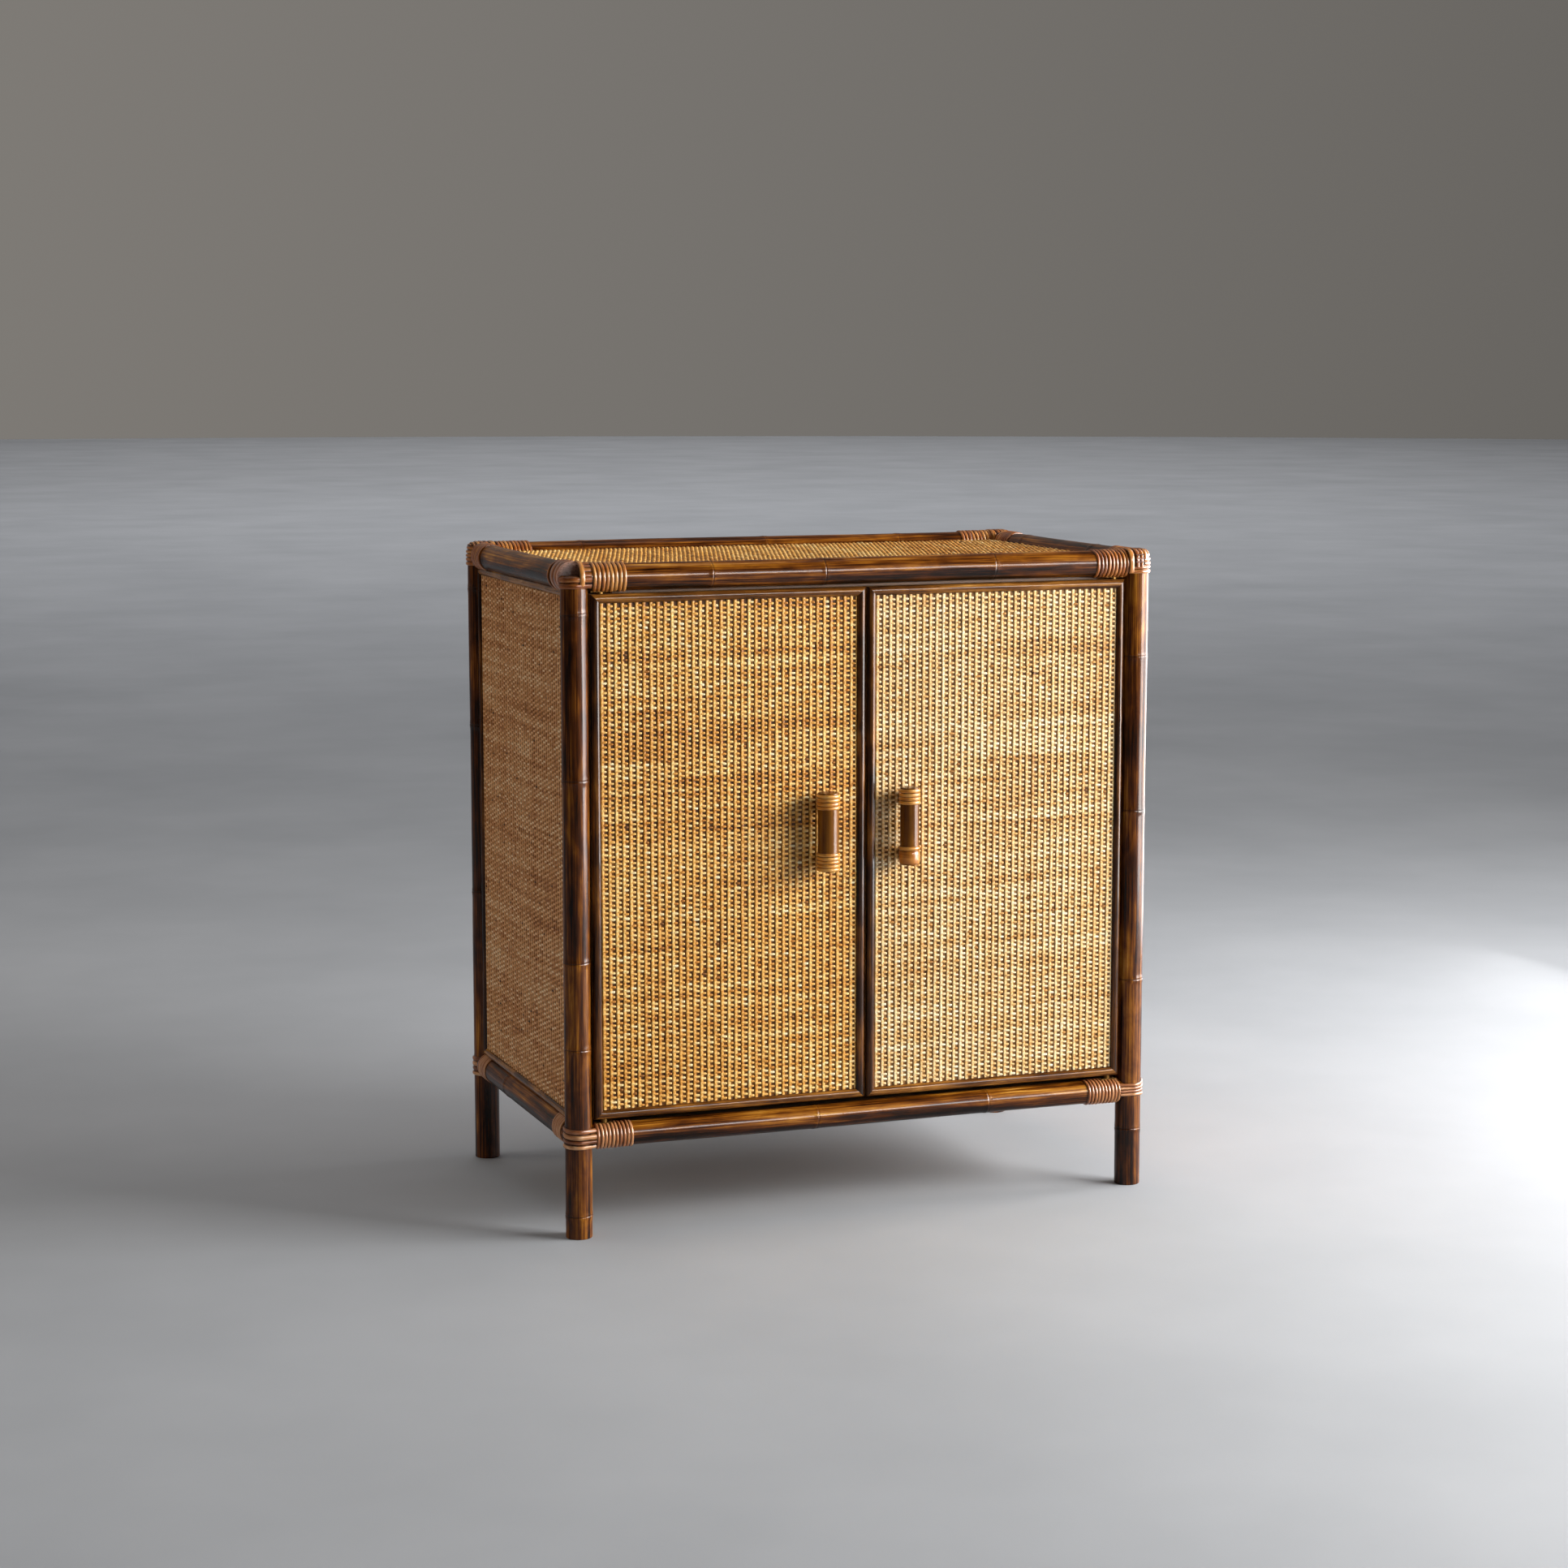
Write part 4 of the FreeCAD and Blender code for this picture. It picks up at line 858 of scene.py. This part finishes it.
def weave(name, origin, eu, ev, en, U, V, mat, body, cad, seed, fine=True, golden=0.0, streaks=(), top=1.9, strand=1.0, split=1,
          vary=0.11, thick=1.80, gap_shade=0.42, short=0.8, ragged=0.25):
    """Closely woven cane. Upright strands run along ev every PU; each weft shows
    as a loop beside every second strand, and the strands' loops are staggered."""
    origin, eu, ev, en = (np.asarray(x, float) for x in (origin, eu, ev, en))
    rng = np.random.default_rng(seed)
    nc = int(round(U / PU))
    pu = U / nc
    nv = int(round(V / PV))
    pv = V / nv

    def tone_at(u, v):
        """Tones of the strands: light and dark wefts, upright streaks, soft clouds."""
        vv = v + 2.2 * np.sin(u / U * 2.2 + seed) + 1.2 * vnoise1(u, 90.0, seed + 40)
        t = 0.585 + golden
        t = t + 0.06 * vnoise2(u, vv, 190.0, 18.0, seed + 1) + 0.15 * vnoise2(u, vv, 230.0, 3.6, seed + 2)
        t = t + 0.06 * vnoise2(u, vv, 60.0, 4.2, seed + 5)
        t = t + 0.045 * vnoise2(u, v, 140.0, 140.0, seed + 3) + 0.02 * vnoise2(u, v, 9.0, 200.0, seed + 4)
        for (cu, cv, lu, lv, amt) in streaks:
            t = t + amt * np.exp(-((u - cu) / lu) ** 2 - ((vv - cv) / lv) ** 2)
        return t

    made = []
    # ---- loops -------------------------------------------------------------
    if fine:
        s = np.array([0.0, 0.17, 0.40, 0.66, 0.84, 0.95, 1.0])
        H = np.array([1.86, 1.97, 2.0, 1.98, 1.80, 1.30, 0.05])
        W = np.array([1.0, 1.03, 1.03, 1.0, 0.92, 0.76, 0.48])
        tt = np.array([-1.0, -0.66, 0.0, 0.66, 1.0])
        hp = np.array([0.02, 0.80, 1.0, 0.80, 0.02])
    else:
        s = np.array([0.0, 0.25, 0.68, 0.92, 1.0])
        H = np.array([1.86, 2.0, 1.95, 1.45, 0.05])
        W = np.array([0.92, 1.0, 0.97, 0.78, 0.5])
        tt = np.array([-1.0, -0.55, 0.55, 1.0])
        hp = np.array([0.02, 0.92, 0.92, 0.02])
    H = H * top / 1.9
    cols = []
    for c in range(nc):
        j = np.arange(nv + 1)
        v = (j + (0.5 if c % 2 else 0.0)) * pv
        v = v[(v > pv * 0.22) & (v < V - pv * 0.22)]
        cols.append(np.stack([np.full(len(v), c), v], 1))
    cv = np.concatenate(cols)
    c_idx, v0 = cv[:, 0].astype(int), cv[:, 1]
    k = len(cv)
    base_u = c_idx * pu
    v0 = v0 + 0.35 * vnoise2(base_u, v0, 30.0, 30.0, seed + 20) + rng.normal(0, 0.13, k)
    wav = 0.9 * vnoise1(base_u, 130.0, seed + 40)
    u_start = base_u + 2.2
    length = np.minimum(pu - 2.2 - short + rng.normal(0, ragged, k), pu - 2.15)
    half = thick * (1 + rng.normal(0, 0.06, k))
    lift = 1 + rng.normal(0, 0.07, k)
    slope = rng.normal(0, 0.14, k) - 0.25
    Uu = u_start[:, None, None] + s[None, :, None] * length[:, None, None]
    Vv = (v0 + wav)[:, None, None] + tt[None, None, :] * (W[None, :, None] * half[:, None, None]) \
        + slope[:, None, None] * (s[None, :, None] - 0.5)
    Hh = (H[None, :, None] * hp[None, None, :]) * lift[:, None, None]
    Uu, Vv, Hh = np.broadcast_arrays(Uu, Vv, Hh)
    Vv = np.clip(Vv, 0.0, V)
    tone = tone_at(base_u, v0) + rng.normal(0, vary, k)
    dark_ones = rng.uniform(0, 1, k) < 0.012
    tone = np.where(dark_ones, tone - 0.35, tone)
    # painted highlight: each loop grows lighter towards its far end, the end that faces the light from the right on the
    # doors
    tone3 = tone[:, None, None] + 0.02 + 0.10 * (s[None, :, None] - 0.35) + 0 * Hh
    # painted shade: the loops are darkened on their flanks and at the end where they dive under
    deep3 = np.broadcast_to((1 - np.clip(hp, 0, 1))[None, None, :] ** 1.5, Hh.shape) * 0.95
    deep3 = np.maximum(deep3, np.broadcast_to((s >= 0.99).astype(float)[None, :, None], Hh.shape) * 0.95)
    P = origin + Uu[..., None] * eu + Vv[..., None] * ev + Hh[..., None] * en
    ns, nt = len(s), len(tt)
    q = grid_faces(ns, nt)
    F = (q[None] + (np.arange(k) * ns * nt)[:, None, None]).reshape(-1, 4)
    lo_, span = np.array([0.0, 0.0]), np.array([U, V])

    def uv(vm):
        w = vm * 1000.0
        w[:, 1] -= YS
        rel = w - origin
        return np.stack([rel @ eu / U, rel @ ev / V], 1) * 0.98 + 0.01

    hand = np.dot(np.cross(eu, ev), en)
    if hand > 0:
        F = F[:, ::-1]
    parts = np.array_split(np.arange(k), split)
    for i, idx in enumerate(parts):
        b = Build()
        f = (q[None] + (np.arange(len(idx)) * ns * nt)[:, None, None]).reshape(-1, 4)
        if hand > 0:
            f = f[:, ::-1]
        b.add(P[idx].reshape(-1, 3), f, tone=tone3[idx].ravel(), deep=deep3[idx].ravel())
        made.append(b.make(name + "_loops" + ("" if split == 1 else "_%d" % (i + 1)), mat, body, cad if i == 0 else (), uv=uv))
    # ---- upright strands and the ground between ----------------------------
    b = Build()
    steps = 3 if fine else 2
    vs = np.linspace(0, V, nv * steps + 1)
    pu_ = np.array([0.0, 0.35, 1.4, 2.7, 4.1, 5.0]) if fine else np.array([0.0, 0.45, 2.8, 4.6])
    ph_ = np.array([0.02, 0.82, 1.0, 0.90, 0.56, 0.06]) if fine else np.array([0.02, 0.96, 0.92, 0.06])
    # painted shade at the strands' edges, next to the loops
    strand_shade_ = np.array([0.95, 0.10, 0.0, 0.0, 0.35, 0.95]) if fine else np.array([0.95, 0.0, 0.0, 0.95])
    for c in range(nc + 1):
        u0 = c * pu - 0.25 if c < nc else U - 2.0
        if c == 0:
            u0 = 0.0
        phase = 2 * np.pi * (vs / pv - (0.5 if c % 2 else 0.0))
        press = 0.5 + 0.5 * np.cos(phase)            # 1 where a loop lies beside it
        du = 0.16 * vnoise1(vs, 40.0, seed * 3 + c) + 0.16 * press
        hgt = top * strand * (1.0 + 0.02 * vnoise1(vs, 9.0, seed + c)) * (0.86 + 0.15 * press)
        Uc = u0 + pu_[None, :] * (1 + 0.06 * vnoise1(vs, 60.0, seed + 7 * c))[:, None] + du[:, None]
        Hc = ph_[None, :] * hgt[:, None]
        Vc = np.broadcast_to(vs[:, None], Uc.shape)
        Uc = np.clip(Uc, 0, U)
        Pc = origin + Uc[..., None] * eu + Vc[..., None] * ev + Hc[..., None] * en
        tn = tone_at(np.full_like(vs, u0), vs) + 0.05 * vnoise1(vs, 15.0, seed + 11 * c) + rng.normal(0, 0.05)
        # painted shade: the strand is darker in the gaps between loops and lighter where a loop lies beside it
        tn = tn - 0.03 + 0.28 * (press - 0.55)
        tn = np.broadcast_to(tn[:, None], Uc.shape)
        dp = np.broadcast_to(strand_shade_[None, :], Uc.shape)
        f = grid_faces(len(vs), len(pu_), flip=(hand < 0))
        b.add(Pc.reshape(-1, 3), f, tone=tn.ravel(), deep=dp.ravel())
    # ground: the wefts where they run behind, darkened as painted shade
    per = 4
    vg = np.linspace(0, V, nv * 2 * per // 2 + 1)
    hg = 0.22 + 0.16 * np.cos(2 * np.pi * vg / (pv / 2))
    ug = np.linspace(0, U, 13)
    UG, VG = np.meshgrid(ug, vg, indexing="ij")
    HG = np.broadcast_to(hg[None, :], UG.shape)
    Pg = origin + UG[..., None] * eu + VG[..., None] * ev + HG[..., None] * en
    tg = tone_at(UG.ravel(), VG.ravel()).reshape(UG.shape) - 0.40
    b.add(Pg.reshape(-1, 3), grid_faces(len(ug), len(vg), flip=(hand > 0)), tone=tg.ravel(), deep=gap_shade)
    # closed rim and back, darkened as painted shade
    rim = []
    c4 = [(0, 0), (U, 0), (U, V), (0, V)]
    for (a, c) in c4:
        rim.append(origin + a * eu + c * ev)
        rim.append(origin + a * eu + c * ev + 0.6 * en)
    fr = [[0, 2, 3, 1], [2, 4, 5, 3], [4, 6, 7, 5], [6, 0, 1, 7], [0, 6, 4, 2]]
    fr = np.array(fr)
    if hand < 0:
        fr = fr[:, ::-1]
    b.add(np.array(rim), fr, tone=0.3, deep=0.6)
    made.append(b.make(name + "_strands", mat, body, (), uv=uv))
    return made


# the doors: light golden cane on the left, a little paler on the right
L_STREAKS = ((170, 150, 400, 230, 0.07), (210, 505, 160, 1.6, 0.24), (60, 470, 60, 5, -0.16), (250, 452, 70, 5, -0.14), (90, 352, 90, 4, -0.18), (200, 330, 120, 3, -0.16),
             (150, 300, 120, 3, -0.12), (240, 150, 90, 4, -0.14), (60, 190, 50, 3, -0.14), (120, 566, 160, 10, 0.06), (200, 240, 160, 2, 0.12),
             (100, 105, 200, 3, -0.10), (260, 95, 60, 1.6, 0.16), (60, 60, 90, 12, -0.06))
R_STREAKS = ((170, 60, 400, 200, 0.05), (200, 398, 90, 3.0, -0.26), (250, 388, 60, 2.2, -0.22), (130, 372, 80, 2.4, -0.18), (110, 345, 70, 3.0, -0.22), (240, 352, 70, 2.2, -0.2),
             (200, 318, 90, 2.0, -0.16), (150, 245, 110, 2.4, -0.16), (60, 228, 60, 2.0, -0.14), (230, 205, 90, 2.0, -0.18), (120, 176, 80, 2.2, -0.2),
             (220, 128, 80, 2.0, -0.12), (60, 108, 80, 2.0, -0.12), (210, 500, 8, 3.0, -0.4), (120, 566, 190, 18, 0.06), (40, 420, 60, 2.0, -0.12))
DW, DH = LX1 - LX0 - 2 * BW, DZ1 - DZ0 - 2 * BW
weave("left_door_weave", (LX0 + BW, YF, DZ0 + BW), (1, 0, 0), (0, 0, 1), (0, -1, 0), DW, DH, M_WEAVE_DOOR, "left_door",
      "left_door_weave", 71, golden=0.0, streaks=L_STREAKS, thick=1.74, gap_shade=0.58, short=0.40, ragged=0.45)
DW = RX1 - RX0 - 2 * BW
weave("right_door_weave", (RX0 + BW, YF, DZ0 + BW), (1, 0, 0), (0, 0, 1), (0, -1, 0), DW, DH, M_WEAVE_PALE, "right_door",
      "right_door_weave", 83, golden=0.02, streaks=R_STREAKS, thick=1.74, gap_shade=0.58, short=0.40, ragged=0.45)
SB0, SB1 = ZB + 14.5, ZT - 13.5
BB0 = ZL + RL - 1.3
weave("left_side_weave", (-XO, 180.0, SB0 + 10), (0, -1, 0), (0, 0, 1), (-1, 0, 0), 360.0, SB1 - SB0 - 20, M_WEAVE_SIDE, "carcass",
      "left_side_weave", 95, fine=False, golden=0.10, vary=0.20, thick=1.45, gap_shade=0.95)
weave("right_side_weave", (XO, -180.0, SB0 + 10), (0, 1, 0), (0, 0, 1), (1, 0, 0), 360.0, SB1 - SB0 - 20, M_WEAVE_SIDE, "carcass",
      "right_side_weave", 96, fine=False, golden=0.0, vary=0.14, thick=1.8, gap_shade=0.8)
weave("back_weave", (335.0, YO, BB0 + 10), (-1, 0, 0), (0, 0, 1), (0, 1, 0), 670.0, SB1 - BB0 - 20, M_WEAVE_BACK, "carcass",
      "back_weave", 97, fine=False, golden=0.0, split=1, vary=0.14, thick=1.8, gap_shade=0.8)
weave("top_weave", (-343.9, 188.9, 787.9), (0, -1, 0), (1, 0, 0), (0, 0, 1), 377.8, 687.8, M_WEAVE_TOP, "carcass",
      "top_weave", 98, fine=True, golden=-0.07, top=2.4, strand=0.45, vary=0.10, thick=1.9, gap_shade=0.95, split=2)

# ---------------------------------------------------------------------------
# beading
# ---------------------------------------------------------------------------
bead_frame("left_door_bead", (LX0, YF, DZ0), (1, 0, 0), (0, 0, 1), (0, -1, 0), LX1 - LX0, DZ1 - DZ0, BW, 5.3, 7, "left_door", "left_door_beading")
bead_frame("right_door_bead", (RX0, YF, DZ0), (1, 0, 0), (0, 0, 1), (0, -1, 0), RX1 - RX0, DZ1 - DZ0, BW, 5.3, 9, "right_door", "right_door_beading")
bead_frame("left_side_bead", (-XO, 190.0, SB0), (0, -1, 0), (0, 0, 1), (-1, 0, 0), 380.0, SB1 - SB0, 10.0, 4.9, 12, "carcass", "left_side_beading")
bead_frame("right_side_bead", (XO, -190.0, SB0), (0, 1, 0), (0, 0, 1), (1, 0, 0), 380.0, SB1 - SB0, 10.0, 4.9, 13, "carcass", "right_side_beading")
bead_frame("back_bead", (345.0, YO, BB0), (-1, 0, 0), (0, 0, 1), (0, 1, 0), 690.0, SB1 - BB0, 10.0, 4.9, 14, "carcass", "back_beading")

# ---------------------------------------------------------------------------
# handles
# ---------------------------------------------------------------------------
for side, sx, hx, hz in (("left", -1, -54.6, 473.2), ("right", 1, 50.3, 475.3)):
    hy = YF - 1.8 - 7.0 - 13.0
    up = 47.6 if side == "left" else 46.9
    rh = 12.7 if side == "left" else 11.6
    flip_check(pole(side + "_handle_grip", (hx, hy, hz - 45.3), (hx, hy, hz + up), [], 130 + sx, side + "_handle_pole", side + "_door", r=rh,
                    mat=M_HANDLE, tones=[0.0], ends=(0.9, 0.9), bend=0.1, sides=40, wobble=0.006, base=0.42))
    b = Build()
    tones = np.random.default_rng(500 + sx).uniform(-0.08, 0.08, 12)
    for k in range(4):
        ring(b, hx, hy, hz + up - 2.9 - 4.7 * k, rh - 0.2, 4.5, 1.8, 500 + 9 * k + sx, 0.58 + tones[k])
    if side == "left":
        for k in range(5):
            ring(b, hx, hy, hz - 43.4 + 4.4 * k, rh - 0.2, 4.25, 1.8, 540 + 9 * k, 0.56 + tones[5 + k])
    else:
        # one turn, and below it a broad smooth strip
        ring(b, hx, hy, hz - 25.8, rh - 0.2, 4.8, 1.9, 540, 0.54)
        ring(b, hx, hy, hz - 36.9, rh - 0.2, 16.6, 1.5, 549, 0.40)
    b.make(side + "_handle_cane", M_BIND, side + "_door", side + "_handle_bindings")

# ---------------------------------------------------------------------------
# finish of the CAD pieces that stay as they are
# ---------------------------------------------------------------------------
def paint(node, mat):
    ob = NODES[node]
    ob.data.materials.clear()
    ob.data.materials.append(mat)


for n in NODES:
    if n.endswith("_board"):
        paint(n, M_BOARD)
    elif n == "shelf":
        paint(n, M_SHELF)
    elif n in ("joint_dowels", "door_stop_batten") or n.endswith("handle_spacers"):
        paint(n, M_WOOD)
    elif n in ("pivot_plates", "pivot_pins", "pivot_washers") or n.endswith("pivot_bushes"):
        paint(n, M_BRASS)
    elif n in ("catch_screws", "shelf_pins") or n.endswith("handle_screws") or n.endswith("strike_plate"):
        paint(n, M_STEEL)
    elif n == "catch_case":
        paint(n, M_PLASTIC)
    elif n == "catch_magnets":
        paint(n, M_MAGNET)

# ---------------------------------------------------------------------------
# stage: pale floor, soft light from the right, camera at the photograph's place
# ---------------------------------------------------------------------------
fm = Mat("pale_floor")
o = fm.obj()
fn = fm.noise(fm.mapping(o, (1.4, 1.4, 1.4)), 1.0, 4.0, 0.6)
fm.link(fm.ramp(fn, [(0.3, srgb(164, 168, 175)), (0.7, srgb(176, 180, 187))]), fm.p.inputs["Base Color"])
fm.set(Roughness=0.75, Specular_IOR_Level=0.10)
me = bpy.data.meshes.new("floor")
ring = [(30 * math.cos(a), 30 * math.sin(a), 0.0) for a in np.linspace(0, 2 * math.pi, 64, endpoint=False)]
me.from_pydata(ring, [], [list(range(64))])
me.materials.append(fm.m)
floor = bpy.data.objects.new("floor", me)
bpy.context.scene.collection.objects.link(floor)

world = bpy.data.worlds.new("studio")
bpy.context.scene.world = world
world.use_nodes = True
nt = world.node_tree
bg = nt.nodes["Background"]
# a dim room, lighter behind and to the left
tc = nt.nodes.new("ShaderNodeTexCoord")
dot = nt.nodes.new("ShaderNodeVectorMath")
dot.operation = "DOT_PRODUCT"
dot.inputs[1].default_value = (-0.50, 0.84, 0.20)
nt.links.new(tc.outputs["Generated"], dot.inputs[0])
mr = nt.nodes.new("ShaderNodeMapRange")
mr.inputs[1].default_value, mr.inputs[2].default_value = -0.1, 0.9
mr.inputs[3].default_value, mr.inputs[4].default_value = 0.04, 0.23
nt.links.new(dot.outputs["Value"], mr.inputs[0])
nt.links.new(mr.outputs[0], bg.inputs["Strength"])
bg.inputs["Color"].default_value = (1.0, 0.94, 0.86, 1.0)


def area(name, loc, target, size, energy, color=(1, 1, 1), size_y=None):
    li = bpy.data.lights.new(name, "AREA")
    li.shape = "RECTANGLE"
    li.size = size
    li.size_y = size_y or size
    li.energy = energy
    li.color = color
    ob = bpy.data.objects.new(name, li)
    bpy.context.scene.collection.objects.link(ob)
    ob.location = loc
    ob.rotation_euler = (Vector(target) - Vector(loc)).to_track_quat("-Z", "Y").to_euler()
    return ob


area("key", (2.80, -1.80, 1.50), (0.0, 0.0, 0.45), 2.0, 210.0, (1.0, 0.975, 0.93), 1.7)
area("window", (2.65, -0.10, 1.30), (0.0, -0.15, 0.45), 0.95, 46.0, (1.0, 0.98, 0.95), 1.4)
# panes which only show as bright streaks on the varnish
pane = area("pane_front", (1.55, -4.00, 1.45), (0.0, -0.2, 0.55), 1.7, 88.0, (1.0, 0.98, 0.97), 0.7)
pane.visible_diffuse = False
pane = area("pane_side", (1.60, 0.10, 0.78), (0.0, 0.0, 0.50), 1.8, 76.0, (1.0, 0.98, 0.97), 1.5)
pane.visible_diffuse = False
pane = area("pane_low", (1.74, -1.36, 0.66), (-0.36, -0.20, 0.45), 0.95, 78.0, (1.0, 0.98, 0.96), 1.25)
pane.visible_diffuse = False
# lifts the floor far behind
far = area("far_floor", (4.0, 11.0, 6.0), (4.0, 11.0, 0.0), 12.0, 450.0, (1.0, 0.99, 0.98))
far.visible_glossy = False
far = area("far_floor_2", (7.5, 23.0, 8.0), (7.5, 23.0, 0.0), 16.0, 760.0, (1.0, 0.98, 0.96))
far.visible_glossy = False
area("sky", (-0.4, 0.5, 3.6), (0.0, 0.0, 0.4), 2.6, 16.0, (1.0, 0.98, 0.95))
fill = area("fill", (-3.0, 1.0, 1.15), (-0.4, 0.0, 0.45), 1.6, 15.0, (1.0, 0.88, 0.74))
fill.visible_glossy = False

F = (math.sin(math.radians(20.40)) * math.cos(math.radians(7.874)), math.cos(math.radians(20.40)) * math.cos(math.radians(7.874)),
     -math.sin(math.radians(7.874)))
cd = bpy.data.cameras.new("camera")
cd.sensor_width = 36.0
cd.lens = 4021.8 / 1932.0 * 36.0
cd.clip_end = 100.0
cam = bpy.data.objects.new("camera", cd)
bpy.context.scene.collection.objects.link(cam)
cam.location = (-1.4473, -3.8251 + YS / 1000.0, 1.0648)
cam.rotation_euler = Vector(F).to_track_quat("-Z", "Y").to_euler()
bpy.context.scene.camera = cam

bpy.context.scene.view_settings.view_transform = "Standard"
bpy.context.scene.view_settings.look = "None"
bpy.context.scene.view_settings.exposure = 0.0
